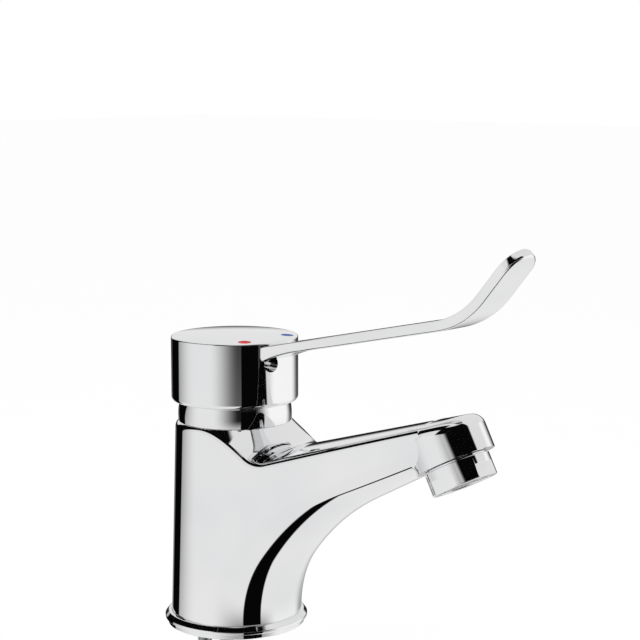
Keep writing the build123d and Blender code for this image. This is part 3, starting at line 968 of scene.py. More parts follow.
def facing(origin: Sequence[float], way: Vector, side: Vector) -> Matrix:
    """Place with its Z along a direction and its X along a side direction.

    Args:
        origin: Its origin.
        way: Direction of its Z.
        side: Direction of its X, square to the Z.

    Returns:
        The place.
    """
    x = side.normalized()
    z = way.normalized()
    y = z.cross(x)
    return Matrix.Translation(origin) @ Matrix((x, y, z)).transposed().to_4x4()


# The casting


@dataclass
class Casting:
    """Column, spout and spout end in one, with its waterways.

    The frame's own body is copied, its outside is laid finer and drawn onto the exact form, and the
    form's directions shade it, so that the plating mirrors without facets.
    """

    form: CastingForm = field(default_factory=CastingForm)
    weave: float = 1.7
    passes: int = 7
    reach: float = 0.6
    facing_share: float = 0.85
    pulls: int = 4
    near: float = 0.05
    node: str = "body"

    def outside(self, work: bmesh.types.BMesh) -> set[bmesh.types.BMFace]:
        """Faces of the mesh that lie on the form.

        Args:
            work: The mesh in millimetres.

        Returns:
            The faces.
        """
        faces = list(work.faces)
        middles = np.array([face.calc_center_median() for face in faces])
        ways = np.array([face.normal for face in faces])
        skin = self.form.skin(middles)
        on = (np.abs(skin.depth) < self.reach) & ((skin.way * ways).sum(1) > self.facing_share)
        return {face for face, take in zip(faces, on) if take}

    def refine(self, work: bmesh.types.BMesh) -> None:
        """Split the long edges of the outside until none is longer than the weave.

        Args:
            work: The mesh in millimetres.
        """
        for _ in range(self.passes):
            outside = self.outside(work)
            long = {edge for face in outside for edge in face.edges if edge.calc_length() > self.weave}
            if not long:
                break
            bmesh.ops.subdivide_edges(work, edges=list(long), cuts=1)
            bmesh.ops.triangulate(work, faces=[face for face in work.faces if len(face.verts) > 3])

    def draw_on(self, work: bmesh.types.BMesh) -> None:
        """Move the outside onto the form, short of its rims.

        Args:
            work: The mesh in millimetres.
        """
        outside = self.outside(work)
        verts = [vert for vert in work.verts if vert.link_faces and outside.issuperset(vert.link_faces)]
        places = np.array([vert.co for vert in verts])
        for _ in range(self.pulls):
            skin = self.form.skin(places)
            places = places - skin.way * skin.depth[:, None]
        for vert, place in zip(verts, places):
            vert.co = place

    def exact(self, places: np.ndarray) -> tuple[np.ndarray, np.ndarray]:
        """Whether places lie on the form, and its outward directions there."""
        skin = self.form.skin(places)
        return np.abs(skin.depth) < self.near, skin.way

    def build(self) -> None:
        """Make the casting."""
        work = bmesh.new()
        work.from_mesh(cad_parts[self.node].data)
        bmesh.ops.scale(work, vec=(1 / MM,) * 3, verts=work.verts)
        bmesh.ops.remove_doubles(work, verts=work.verts, dist=WELD)
        bmesh.ops.dissolve_degenerate(work, edges=work.edges, dist=WELD)
        work.normal_update()
        self.refine(work)
        work.normal_update()
        self.draw_on(work)
        piece = Piece("tap_casting", CHROME, Slot.CHROME, Body.FIXED, (self.node,))
        piece.deliver(piece.blank(work), self.exact)


# Rings, handle and small parts


@dataclass
class FootRing:
    """Ring between the casting's foot and the basin, a band with a bead and a slope over it."""

    outer_r: float = 29.0
    band_inset: float = 1.1
    band_height: float = 2.0
    bead_height: float = 1.2
    height: float = 5.1
    slope_inset: float = 1.5
    bore_r: float = 26.4
    floor_z: float = 2.5
    inner_r: float = 20.5
    groove_inner_r: float = 22.5
    groove_outer_r: float = 25.9
    groove_depth: float = 1.2

    def build(self) -> None:
        """Make the ring."""
        band_r = self.outer_r - self.band_inset
        profile = [
            Corner(self.inner_r, 0, 0.3),
            Corner(self.groove_inner_r, 0),
            Corner(self.groove_inner_r, self.groove_depth),
            Corner(self.groove_outer_r, self.groove_depth),
            Corner(self.groove_outer_r, 0),
            Corner(band_r, 0, 0.35),
            Corner(band_r, self.band_height, 0.25),
            Corner(self.outer_r, self.band_height, 0.45),
            Corner(self.outer_r, self.band_height + self.bead_height, 0.55),
            Corner(self.outer_r - self.slope_inset, self.height, 0.6),
            Corner(self.bore_r, self.height, 0.12),
            Corner(self.bore_r, self.floor_z),
            Corner(self.inner_r, self.floor_z, 0.2),
        ]
        piece = Piece("foot_ring", CHROME, Slot.CHROME, Body.FIXED, ("base_ring",))
        piece.deliver(piece.blank(spun(rounded(profile), 192)))


@dataclass
class NeckCover:
    """Domed ring over the cartridge nut, between the casting and the cap."""

    sphere_r: float = 22.9
    middle_z: float = 86.0
    low_z: float = 83.62
    top_z: float = 97.0
    bore_r: float = 19.06
    roof_z: float = 90.5
    opening_r: float = 17.6

    def build(self) -> None:
        """Make the ring."""
        dome = []
        for z in np.linspace(self.low_z, self.top_z, 32):
            dome.append(Vector((math.sqrt(self.sphere_r**2 - (z - self.middle_z) ** 2), 0, z)))
        inside = [
            Vector((self.opening_r, 0, self.top_z)),
            Vector((self.opening_r, 0, self.roof_z)),
            Vector((self.bore_r, 0, self.roof_z)),
            Vector((self.bore_r, 0, self.low_z)),
        ]
        piece = Piece("neck_cover", CHROME, Slot.CHROME, Body.FIXED, ("neck_ring",))
        piece.deliver(piece.blank(spun(dome + inside, 192)))


@dataclass
class ColourDot:
    """Round enamel marker set in the cap."""

    radius: float = 2.5
    hole_r: float = 2.55
    depth: float = 1.3
    inset: float = 0.12
    ring_r: float = 21.2
    angle: float = 35.5
    swell: float = 0.1
    rim: float = 0.12
    rim_drop: float = 0.1
    play: float = 0.05

    def middle(self, side: int, dome: Callable[[float], float]) -> Vector:
        """Middle of the marker's top edge, on the hot or the cold side.

        Args:
            side: 1 on the cold side, -1 on the hot side.
            dome: Height of the cap's top at a radius.

        Returns:
            The middle.
        """
        turn = math.radians(self.angle) * side
        height = dome(self.ring_r) - self.inset
        return Vector((self.ring_r * math.cos(turn), self.ring_r * math.sin(turn), height))

    def build(
        self, side: int, finish: Finish, slot: Slot, node: str, dome: Callable[[float], float]
    ) -> None:
        """Make one marker.

        Args:
            side: 1 on the cold side, -1 on the hot side.
            finish: Its enamel.
            slot: Its material slot.
            node: Node that it stands for.
            dome: Height of the cap's top at a radius.
        """
        profile = []
        for r in np.linspace(0, self.radius - self.rim, 8):
            profile.append(Vector((r, 0, self.swell * (1 - (r / self.radius) ** 2))))
        for r, drop in ((self.radius, self.rim_drop), (self.radius, self.depth), (0, self.depth)):
            profile.append(Vector((r, 0, -drop)))
        piece = Piece(f"{node}_enamel", finish, slot, Body.LEVER, (node,))
        piece.deliver(piece.blank(spun(profile, 64), Matrix.Translation(self.middle(side, dome))))


@dataclass
class Cap:
    """Cap of the handle: a low drum with a faintly domed top and the screw's recess in its wall."""

    radius: float = 25.5
    low_z: float = 91.6
    top_z: float = 118.6
    dome: float = 0.9
    top_edge: float = 0.7
    low_edge: float = 1.9
    cavity_r: float = 23.3
    cavity_z: float = 115.0
    boss_r: float = 8.5
    boss_z: float = 99.0
    socket_r: float = 5.75
    socket_z: float = 112.5
    recess_r: float = 3.3
    recess_floor: float = 13.9
    recess_z: float = 109.3
    recess_angle: float = -12.0
    sleeve_r: float = 4.6
    near: float = 0.004
    rim: float = 0.4
    plain_rim: float = 2.5
    lead: float = 3.0
    overcut: float = 2.0
    dots: ColourDot = field(default_factory=ColourDot)

    def ball(self) -> float:
        """Radius of the ball that the cap's top is cut from."""
        return (self.radius**2 + self.dome**2) / (2 * self.dome)

    def height(self, r: float) -> float:
        """Height of the cap's top at a radius."""
        return self.top_z - self.ball() + math.sqrt(self.ball() ** 2 - r**2)

    def recess(self) -> Matrix:
        """Place of the recess on the tap's axis, with Z out through it."""
        turn = math.radians(self.recess_angle)
        return facing((0, 0, self.recess_z), Vector((math.cos(turn), math.sin(turn), 0)), AXIS_Z)

    def exact(self, places: np.ndarray) -> tuple[np.ndarray, np.ndarray]:
        """Outward directions on the drum's wall and on its top.

        Args:
            places: Points in millimetres.

        Returns:
            Whether each point lies there, and its direction.
        """
        r = np.hypot(places[:, 0], places[:, 1])
        middle = np.array((0, 0, self.top_z - self.ball()))
        wall = np.abs(r - self.radius) < self.near
        top = np.abs(np.linalg.norm(places - middle, axis=1) - self.ball()) < self.near
        level = np.stack((places[:, 0], places[:, 1], np.zeros(len(r))), axis=1)
        out = level / np.maximum(r, 1e-6)[:, None]
        up = (places - middle) / self.ball()
        return wall | (top & (r < self.radius - self.rim)), np.where(wall[:, None], out, up)

    def build(self) -> None:
        """Make the cap, the sleeve of the recess and the two markers."""
        dome = [Vector((r, 0, self.height(r))) for r in np.linspace(0, self.radius - self.plain_rim, 24)]
        shell = rounded([
            Corner(0, self.socket_z),
            Corner(0, self.height(0)),
            Corner(self.radius, self.height(self.radius), self.top_edge),
            Corner(self.radius, self.low_z, self.low_edge),
            Corner(self.cavity_r, self.low_z, 0.3),
            Corner(self.cavity_r, self.cavity_z, 1.0),
            Corner(self.boss_r, self.cavity_z, 1.0),
            Corner(self.boss_r, self.boss_z, 0.4),
            Corner(self.socket_r, self.boss_z, 0.3),
            Corner(self.socket_r, self.socket_z),
        ], 6)
        drum = Piece("handle_cap", CHROME, Slot.CHROME, Body.LEVER, ("control_lever",))
        made = drum.blank(spun([shell[0], *dome, *shell[2:]], 256))
        start = self.cavity_r - self.lead
        end = self.radius + self.overcut
        bore = rod_tool(self.recess_r, start, end, self.recess(), 72)
        cut(made, bore)
        for side in (1, -1):
            place = Matrix.Translation(self.dots.middle(side, self.height))
            floor = -self.dots.depth - self.dots.play
            cut(made, rod_tool(self.dots.hole_r, floor, self.overcut, place, 64))
        drum.deliver(made, self.exact)
        sleeve = spun(rounded([
            Corner(0, self.recess_floor - 0.4),
            Corner(self.sleeve_r, self.recess_floor - 0.4),
            Corner(self.sleeve_r, self.cavity_r - 0.1),
            Corner(self.recess_r, self.cavity_r + 0.3),
            Corner(self.recess_r, self.recess_floor),
            Corner(0, self.recess_floor),
        ]), 72)
        wall = Piece("recess_sleeve", CHROME, Slot.CHROME, Body.LEVER)
        wall.deliver(wall.blank(sleeve, self.recess()))
        self.dots.build(-1, RED, Slot.RED, "hot_dot", self.height)
        self.dots.build(1, BLUE, Slot.BLUE, "cold_dot", self.height)


@dataclass
class Arm:
    """Long elbow lever: a flat bar with a crisp upper edge and a bellied underside, bent up at its end."""

    start_x: float = 20.0
    start_z: float = 115.6
    slope: float = 12.2
    straight: float = 89.0
    bend_r: float = 34.0
    bend_turn: float = 37.8
    end_straight: float = 21.4
    thickness: float = 4.0
    root_thickness: float = 6.4
    root_length: float = 20.0
    half_width: float = 8.7
    root_half_width: float = 10.2
    taper_length: float = 36.0
    belly: float = 1.45
    top_edge: float = 0.5
    pitch: float = 1.25
    end_steps: int = 24

    def arc(self) -> float:
        """Length of the bend."""
        return self.bend_r * math.radians(self.bend_turn)

    def length(self) -> float:
        """Length of the bar's top along its middle."""
        return self.straight + self.arc() + self.end_straight

    def place(self, along: float) -> tuple[Vector, Vector]:
        """Point of the top's middle line and the direction square to it.

        Args:
            along: Distance from the bar's start.

        Returns:
            The point, and the direction up out of the bar.
        """
        first = math.radians(self.slope)
        turn = math.radians(self.bend_turn) * min(max((along - self.straight) / self.arc(), 0), 1)
        start = Vector((self.start_x, 0, self.start_z))
        level = Vector((math.cos(first), 0, math.sin(first)))
        point = start + level * min(along, self.straight)
        angle = first + turn
        bend = Vector((math.sin(angle) - math.sin(first), 0, math.cos(first) - math.cos(angle)))
        point += bend * self.bend_r
        rest = along - self.straight - self.arc()
        point += Vector((math.cos(angle), 0, math.sin(angle))) * max(rest, 0)
        return point, Vector((-math.sin(angle), 0, math.cos(angle)))

    def half(self, along: float) -> float:
        """Half width of the bar."""
        spare = max(1 - along / self.taper_length, 0) ** 2
        return self.half_width + (self.root_half_width - self.half_width) * spare

    def deep(self, along: float) -> float:
        """Thickness of the bar as a share of its plain thickness."""
        spare = max(1 - along / self.root_length, 0) ** 2
        return 1 + (self.root_thickness / self.thickness - 1) * spare

    def build(self) -> None:
        """Make the bar flat, break its edges, and bend it."""
        work = bmesh.new()
        end = self.length() - self.half_width
        stations = np.linspace(0, end, int(end / self.pitch) + 1)
        right = [Vector((s, -self.half(s), 0)) for s in stations]
        tip = []
        for angle in np.linspace(-math.pi / 2, math.pi / 2, self.end_steps + 1)[1:-1]:
            x = end + self.half_width * math.cos(angle)
            tip.append(Vector((x, self.half_width * math.sin(angle), 0)))
        left = [Vector((s, self.half(s), 0)) for s in reversed(stations)]
        top = work.faces.new([work.verts.new(point) for point in right + tip + left])
        made = bmesh.ops.extrude_face_region(work, geom=[top], use_keep_orig=True)["geom"]
        bottom = [item for item in made if isinstance(item, bmesh.types.BMFace)]
        bmesh.ops.translate(work, vec=(0, 0, -self.thickness), verts=bottom[0].verts)
        bmesh.ops.recalc_face_normals(work, faces=work.faces)
        break_edges(work, list(bottom[0].edges), self.belly, 6)
        high_rim = [edge for edge in work.edges if all(vert.co.z > -0.001 for vert in edge.verts)]
        break_edges(work, high_rim, self.top_edge, 3)
        for along in np.linspace(0, self.length(), int(self.length() / self.pitch) + 1)[1:-1]:
            slice_at(work, Vector((along, 0, 0)), Vector((1, 0, 0)))
        for vert in work.verts:
            point, up = self.place(vert.co.x)
            vert.co = point + Vector((0, vert.co.y, 0)) + up * (vert.co.z * self.deep(vert.co.x))
        piece = Piece("handle_arm", CHROME, Slot.CHROME, Body.LEVER)
        piece.deliver(piece.blank(work))


@dataclass
class GrubScrew:
    """Screw with a hexagon socket that holds the cap on its stem."""

    start: float = 4.5
    length: float = 9.0
    radius: float = 2.5
    tip_r: float = 1.5
    tip_length: float = 1.5
    key_across: float = 2.5
    key_depth: float = 2.5

    def build(self, place: Matrix) -> None:
        """Make the screw at its place on the tap's axis.

        Args:
            place: A place on the tap's axis, with Z out along the screw.
        """
        end = self.start + self.length
        profile = rounded([
            Corner(0, self.start),
            Corner(self.tip_r, self.start, 0.2),
            Corner(self.tip_r, self.start + self.tip_length),
            Corner(self.radius, self.start + self.tip_length, 0.3),
            Corner(self.radius, end, 0.35),
            Corner(0, end),
        ])
        piece = Piece("grub_screw", STAINLESS, Slot.SCREW, Body.LEVER, ("set_screw",))
        made = piece.blank(spun(profile, 64, closed=False))
        cut(made, rod_tool(self.key_across / math.sqrt(3), end - self.key_depth, end + 1, Matrix(), 6))
        move(made, place)
        piece.deliver(made)


@dataclass
class OutletRing:
    """Threaded ring under the spout end, with four spanner flats on its lower half."""

    radius: float = 12.45
    length: float = 9.4
    neck_r: float = 11.6
    neck_length: float = 0.8
    thread_r: float = 11.94
    thread_length: float = 5.6
    bore_r: float = 10.54
    lip: float = 1.0
    lip_height: float = 1.2
    flat_across: float = 23.0
    flat_length: float = 5.2
    thread_pitch: float = 1.0
    thread_depth: float = 0.45
    edge: float = 0.5

    def thread(self) -> list[Corner]:
        """Crests and roots of the thread, from its top down.

        Returns:
            Their corners.
        """
        corners = []
        turns = int(self.thread_length / self.thread_pitch)
        for turn in range(turns):
            z = self.thread_length - turn * self.thread_pitch
            corners.append(Corner(self.thread_r - self.thread_depth, z))
            corners.append(Corner(self.thread_r, z - 0.5 * self.thread_pitch, 0.06))
        return corners

    def build(self, place: Matrix) -> None:
        """Make the ring at the outlet.

        Args:
            place: Middle of the outlet face, with Z up into the spout and X across it.
        """
        profile = rounded([
            Corner(self.bore_r - self.lip, -self.length, 0.35),
            Corner(self.bore_r - self.lip, self.lip_height - self.length, 0.2),
            Corner(self.bore_r, self.lip_height - self.length),
            Corner(self.bore_r, self.thread_length),
            *self.thread(),
            Corner(self.neck_r - 0.3, 0.1),
            Corner(self.neck_r, -self.neck_length * 0.3),
            Corner(self.neck_r, -self.neck_length),
            Corner(self.radius, -self.neck_length, self.edge * 0.7),
            Corner(self.radius, -self.length, self.edge),
        ])
        piece = Piece("outlet_ring_shell", CHROME, Slot.CHROME, Body.FIXED, ("outlet_ring",))
        made = piece.blank(spun(profile, 144))
        depth = self.radius
        for turn in range(4):
            spin = Matrix.Rotation(turn * math.pi / 2, 4, "Z")
            box = bmesh.new()
            bmesh.ops.create_cube(box, size=1.0)
            bmesh.ops.scale(box, vec=(depth, 3 * depth, self.flat_length + 2), verts=box.verts)
            shift = Vector(((self.flat_across + depth) / 2, 0, -self.length + self.flat_length / 2 - 1))
            bmesh.ops.transform(box, matrix=spin @ Matrix.Translation(shift), verts=box.verts)
            cut(made, box)
        move(made, place)
        piece.deliver(made)


@dataclass
class Fixing:
    """Two threaded rods and their nuts under the basin."""

    rod_r: float = 3.0
    rod_x: float = -12.0
    rod_y: float = 6.5
    rod_low: float = -44.5
    rod_high: float = 34.0
    pitch: float = 1.0
    turn_steps: int = 20
    thread_depth: float = 0.5
    thread_line: tuple[tuple[float, float], ...] = (
        (0, 0), (0.06, 0), (0.44, 1), (0.56, 1), (0.94, 0), (1, 0),
    )
    seam: float = 0.003
    level: float = 0.001
    nut_across: float = 10.0
    nut_low: float = -32.5
    nut_height: float = 5.0
    nut_bore: float = 3.02

    def threaded(self) -> bmesh.types.BMesh:
        """One rod, its thread wound turn by turn and cut square at both ends.

        Returns:
            The rod's mesh.
        """
        work = bmesh.new()
        turns = int((self.rod_high - self.rod_low) / self.pitch) + 3
        low = self.rod_low - self.pitch
        root = self.rod_r - self.thread_depth
        line = []
        for height, crest in self.thread_line:
            line.append(work.verts.new((root + self.thread_depth * crest, 0, low + height * self.pitch)))
        edges = [work.edges.new(pair) for pair in zip(line, line[1:])]
        steps = turns * self.turn_steps
        bmesh.ops.spin(
            work, geom=line + edges, cent=(0, 0, 0), axis=AXIS_Z, dvec=(0, 0, self.pitch / self.turn_steps),
            angle=math.tau * turns, steps=steps,
        )
        bmesh.ops.remove_doubles(work, verts=work.verts, dist=self.seam)
        for height, way in ((self.rod_low, -AXIS_Z), (self.rod_high, AXIS_Z)):
            slice_at(work, Vector((0, 0, height)), way, clear=True)
            rim = []
            for edge in work.edges:
                if edge.is_boundary and all(abs(end.co.z - height) < self.level for end in edge.verts):
                    rim.append(edge)
            bmesh.ops.contextual_create(work, geom=rim)
        bmesh.ops.recalc_face_normals(work, faces=work.faces)
        return work

    def drum(self) -> bmesh.types.BMesh:
        """Chamfered drum that trims the corners of a nut's hexagon.

        Returns:
            The drum's mesh.
        """
        corner_r = self.nut_across / math.sqrt(3)
        profile = rounded([
            Corner(0, self.nut_low),
            Corner(self.nut_across / 2 - 0.1, self.nut_low),
            Corner(corner_r + 0.1, self.nut_low + 0.5),
            Corner(corner_r + 0.1, self.nut_low + self.nut_height - 0.5),
            Corner(self.nut_across / 2 - 0.1, self.nut_low + self.nut_height),
            Corner(0, self.nut_low + self.nut_height),
        ])
        return spun(profile, 72, closed=False)

    def build(self) -> None:
        """Make both rods and both nuts, each pair in one object."""
        rods = Piece("threaded_rods", ZINC, Slot.FIXING, Body.FIXED, ("mounting_studs",), 40)
        nuts = Piece("rod_nuts", ZINC, Slot.FIXING, Body.FIXED, ("stud_nuts",))
        for piece, form in ((rods, self.threaded), (nuts, self.hexagon)):
            both = bmesh.new()
            for side in (1, -1):
                single = form()
                bmesh.ops.translate(single, vec=(self.rod_x, side * self.rod_y, 0), verts=single.verts)
                mesh = bpy.data.meshes.new("single")
                single.to_mesh(mesh)
                single.free()
                both.from_mesh(mesh)
                bpy.data.meshes.remove(mesh)
            piece.deliver(piece.blank(both))

    def hexagon(self) -> bmesh.types.BMesh:
        """One nut with its corners trimmed and its bore.

        Returns:
            The nut's mesh.
        """
        scratch = Piece("nut_blank", ZINC, Slot.FIXING)
        middle = self.nut_low + self.nut_height / 2
        corner_r = self.nut_across / math.sqrt(3)
        made = scratch.blank(rod_tool(corner_r, self.nut_low, self.nut_low + self.nut_height, Matrix(), 6))
        cut(made, self.drum(), "INTERSECT")
        cut(made, rod_tool(self.nut_bore, middle - self.nut_height, middle + self.nut_height, Matrix(), 48))
        work = bmesh.new()
        work.from_mesh(made.data)
        bmesh.ops.scale(work, vec=(1 / MM, 1 / MM, 1 / MM), verts=work.verts)
        bpy.data.objects.remove(made)
        return work


@dataclass(frozen=True)
class Insides:
    """Parts kept as the frame has them, each with the finish of what it is made of."""

    finishes: tuple[tuple[Finish, tuple[str, ...]], ...] = (
        (RUBBER, ("base_seal", "port_seals", "outlet_gasket", "clamp_washer")),
        (SHELL, ("cartridge_base", "cartridge_housing", "outlet_insert")),
        (CERAMIC, ("fixed_disc", "moving_disc")),
        (CARRIER, ("disc_driver", "spindle_carrier")),
        (STAINLESS, ("pivot_pin", "control_stem")),
        (STOP, ("temperature_stop",)),
        (BRASS, ("cartridge_nut",)),
        (SCREEN, ("outlet_screen",)),
        (ZINC, ("clamp_plate",)),
    )

    def dress(self) -> None:
        """Give each kept part its finish."""
        for finish, names in self.finishes:
            for name in names:
                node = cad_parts[name]
                node.data.materials.clear()
                node.data.materials.append(finish.material())
                LOG.info("%s: kept, %s", name, finish.name)


# Studio


@dataclass(frozen=True)
class SoftBox:
    """Soft box that stands beside the tap.

    Attributes:
        turns: Where it starts, is full, begins to fade and ends, in degrees round from the front.
        light: Its brightness.
    """

    turns: tuple[float, float, float, float]
    light: float


@dataclass(frozen=True)
class Studio:
    """Pale floor, soft light, and black cards that draw the edges of the plating.

    Turns are degrees to the right of the front, and rises are degrees over the level.
    """

    floor_z: float = -46.0
    floor_half: float = 6.0
    camera: tuple[float, float, float] = (494.20, -511.76, 226.76)
    camera_turn: float = 41.24
    camera_rise: float = 8.25
    lens: float = 100.83
    floor_tones: tuple[float, float] = (0.86, 0.88)
    floor_glow: float = 0.85
    lamp: tuple[float, float, float] = (0.25, -0.75, 1.1)
    lamp_size: float = 0.9
    lamp_power: float = 6.0
    ceiling_light: float = 0.85
    table_light: float = 0.9
    room_light: float = 0.015
    card_light: float = 0.002
    soft_boxes: tuple[SoftBox, ...] = (
        SoftBox((-150, -75, -45, 10), 0.9),
        SoftBox((45, 80, 125, 155), 1.05),
    )
    table_rises: tuple[float, float] = (-35.0, -5.0)
    ceiling_front: float = 15.0
    ceiling_back: float = 0.0
    ceiling_steps: tuple[float, float] = (130.0, 150.0)
    ceiling_soft: float = 6.0
    front_card_turns: tuple[float, float] = (20.0, 40.0)
    front_card_spare: float = 0.1
    front_card_top: float = 12.0
    leaning_card_turn: float = -40.0
    leaning_card_rise: float = -25.0
    leaning_card_half: float = 0.25
    leaning_card_middle: tuple[float, float] = (-125.0, 30.0)
    leaning_card_reach: float = 65.0
    high_card_turns: tuple[float, float] = (-40.0, 70.0)
    high_card_rises: tuple[float, float] = (20.0, 65.0)
    card_soft: float = 0.03
    card_soft_turn: float = 6.0

    def place_camera(self) -> None:
        """Put the camera where the photograph was taken from."""
        data = bpy.data.cameras.new("camera")
        data.lens = self.lens
        data.sensor_width = 36
        data.clip_start = 0.01
        data.clip_end = 50
        camera = bpy.data.objects.new("camera", data)
        bpy.context.scene.collection.objects.link(camera)
        back = self.aim(0, self.camera_rise)
        up = self.aim(180, 90 - self.camera_rise)
        turned = Matrix((self.aim(90, 0), up, back)).transposed().to_4x4()
        camera.matrix_world = Matrix.Translation(Vector(self.camera) * MM) @ turned
        bpy.context.scene.camera = camera

    def aim(self, turn: float, rise: float) -> Vector:
        """Direction by its turn and its rise.

        Args:
            turn: Degrees to the right of the front.
            rise: Degrees over the level.

        Returns:
            The direction.
        """
        across = math.radians(self.camera_turn + turn)
        above = math.radians(rise)
        level = Vector((math.sin(across), -math.cos(across), 0)) * math.cos(above)
        return level + AXIS_Z * math.sin(above)

    def soft_light(self, pen: Pen, turn: Socket) -> Socket:
        """Light of the soft boxes and of the dark room between them.

        Args:
            pen: Pen of the world.
            turn: Turn of the direction looked along.

        Returns:
            The light.
        """
        total = self.room_light
        for box in self.soft_boxes:
            start, full, fade, end = box.turns
            rising = pen.rise_over(turn, start, full, 0, box.light)
            falling = pen.rise_over(turn, fade, end, 1, 0)
            total = pen.sums("ADD", total, pen.sums("MULTIPLY", rising, falling))
        return total

    def front_card(self, pen: Pen, way: Socket, rise: Socket) -> Socket:
        """Card that stands in front and runs on under the tap.

        Args:
            pen: Pen of the world.
            way: Direction looked along.
            rise: Its rise.

        Returns:
            1 on the card and 0 beside it.
        """
        left, right = (pen.dot(way, self.aim(turn + 90, 0)) for turn in self.front_card_turns)
        past = pen.step_at(left, -self.front_card_spare, self.card_soft)
        short = pen.step_at(right, self.front_card_spare, self.card_soft, down=True)
        below = pen.step_at(rise, self.front_card_top, self.card_soft_turn, down=True)
        return pen.sums("MULTIPLY", pen.sums("MULTIPLY", past, short), below)

    def leaning_card(self, pen: Pen, way: Socket) -> Socket:
        """Long card that leans over the tap from behind its left.

        Args:
            pen: Pen of the world.
            way: Direction looked along.

        Returns:
            1 on the card and 0 beside it.
        """
        across = pen.dot(way, self.aim(self.leaning_card_turn, self.leaning_card_rise))
        strip = pen.band(across, -self.leaning_card_half, self.leaning_card_half, self.card_soft)
        near = pen.dot(way, self.aim(*self.leaning_card_middle))
        reach = pen.step_at(near, math.cos(math.radians(self.leaning_card_reach)), 3 * self.card_soft)
        return pen.sums("MULTIPLY", strip, reach)

    def high_card(self, pen: Pen, turn: Socket, rise: Socket) -> Socket:
        """Broad card over the camera."""
        beside = pen.band(turn, *self.high_card_turns, self.card_soft_turn)
        return pen.sums("MULTIPLY", beside, pen.band(rise, *self.high_card_rises, self.card_soft_turn))

    def light_world(self) -> None:
        """White light, which plated metal sees as soft boxes and black cards."""
        world = bpy.data.worlds.new("studio")
        bpy.context.scene.world = world
        world.use_nodes = True
        pen = Pen(world.node_tree)
        degrees = math.degrees(1)
        way = pen.add("ShaderNodeTexCoord").outputs["Generated"]
        around = pen.sums("ARCTAN2", pen.dot(way, self.aim(90, 0)), pen.dot(way, self.aim(0, 0)))
        turn = pen.sums("MULTIPLY", around, degrees)
        rise = pen.sums("MULTIPLY", pen.sums("ARCSINE", pen.dot(way, AXIS_Z)), degrees)
        steps = self.ceiling_steps
        ceiling = pen.rise_over(pen.sums("ABSOLUTE", turn), *steps, self.ceiling_front, self.ceiling_back)
        beside = self.soft_light(pen, turn)
        light = pen.blend(pen.rise_over(rise, *self.table_rises), self.table_light, beside)
        over = pen.rise_over(pen.sums("SUBTRACT", rise, ceiling), 0, self.ceiling_soft)
        light = pen.blend(over, light, self.ceiling_light)
        front = self.front_card(pen, way, rise)
        for card in (front, self.leaning_card(pen, way), self.high_card(pen, turn, rise)):
            light = pen.blend(card, light, self.card_light)
        shown = pen.add("ShaderNodeBackground", Color=light, Strength=1.0)
        plain = pen.add("ShaderNodeBackground", Color=(1, 1, 1, 1), Strength=1.0)
        mirrored = pen.add("ShaderNodeLightPath").outputs["Is Glossy Ray"]
        pen.finish("ShaderNodeOutputWorld", pen.mix(mirrored, plain.outputs[0], shown.outputs[0]))

    def lay_floor(self) -> None:
        """Lay a pale floor under the fixing."""
        work = bmesh.new()
        bmesh.ops.create_grid(work, x_segments=8, y_segments=8, size=self.floor_half)
        bmesh.ops.translate(work, vec=(0, 0, self.floor_z * MM), verts=work.verts)
        mesh = bpy.data.meshes.new("floor")
        work.to_mesh(mesh)
        work.free()
        material = bpy.data.materials.new("pale floor")
        material.use_nodes = True
        pen = Pen(material.node_tree)
        speck = pen.noise(pen.place(), 30.0)
        tones = [(tone, tone, tone) for tone in self.floor_tones]
        matt = pen.add("ShaderNodeBsdfDiffuse", Color=pen.ramp(speck, zip(NOISE_ENDS, tones)))
        glow = pen.add("ShaderNodeEmission", Color=(1, 1, 1, 1), Strength=1.0)
        path = pen.add("ShaderNodeLightPath")
        share = pen.sums("MULTIPLY", path.outputs["Is Camera Ray"], self.floor_glow)
        pen.finish("ShaderNodeOutputMaterial", pen.mix(share, matt.outputs[0], glow.outputs[0]))
        mesh.materials.append(material)
        floor = bpy.data.objects.new("floor", mesh)
        bpy.context.scene.collection.objects.link(floor)
        floor.visible_glossy = False

    def hang_lamp(self) -> None:
        """Hang one broad soft lamp, which lights the matt parts and isn't mirrored."""
        data = bpy.data.lights.new("soft lamp", "AREA")
        data.shape = "DISK"
        data.size = self.lamp_size
        data.energy = self.lamp_power
        lamp = bpy.data.objects.new("soft lamp", data)
        bpy.context.scene.collection.objects.link(lamp)
        lamp.location = self.lamp
        lamp.rotation_mode = "QUATERNION"
        lamp.rotation_quaternion = lamp.location.to_track_quat("Z", "Y")
        lamp.visible_glossy = False
        lamp.visible_camera = False

    def build(self) -> None:
        """Set up the studio."""
        self.light_world()
        self.lay_floor()
        self.hang_lamp()
        self.place_camera()
        bpy.context.scene.view_settings.view_transform = "Standard"


# The tap


@dataclass
class Tap:
    """The whole tap, group by group."""

    casting: Casting = field(default_factory=Casting)
    foot: FootRing = field(default_factory=FootRing)
    neck: NeckCover = field(default_factory=NeckCover)
    cap: Cap = field(default_factory=Cap)
    arm: Arm = field(default_factory=Arm)
    screw: GrubScrew = field(default_factory=GrubScrew)
    outlet: OutletRing = field(default_factory=OutletRing)
    fixing: Fixing = field(default_factory=Fixing)
    insides: Insides = field(default_factory=Insides)
    studio: Studio = field(default_factory=Studio)

    def build(self) -> None:
        """Dress the frame and set up the studio."""
        self.insides.dress()
        self.casting.build()
        self.foot.build()
        self.neck.build()
        self.cap.build()
        self.arm.build()
        self.screw.build(self.cap.recess())
        centre, _, up = self.casting.form.outlet()
        self.outlet.build(facing(centre, up, Vector((0, 1, 0))))
        self.fixing.build()
        self.studio.build()


def main() -> None:
    """Build the tap."""
    logging.basicConfig(level=logging.INFO, format="%(name)s: %(message)s")
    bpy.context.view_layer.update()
    Tap().build()


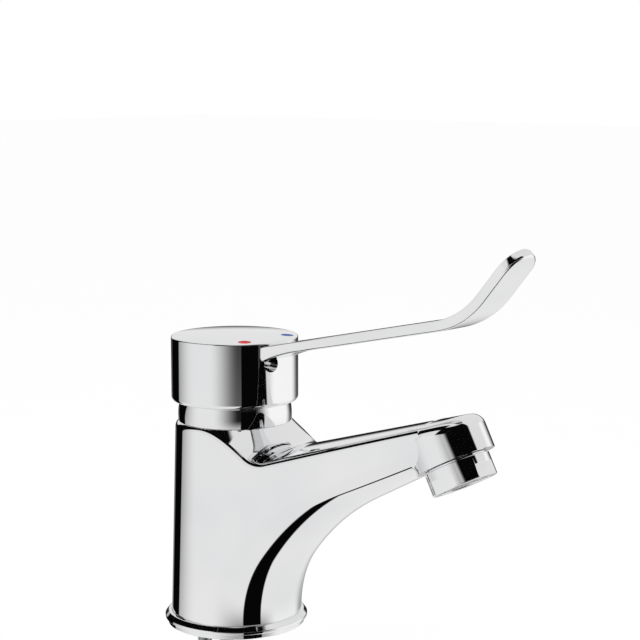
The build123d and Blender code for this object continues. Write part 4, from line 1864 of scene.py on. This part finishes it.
if __name__ == "__main__":
    main()
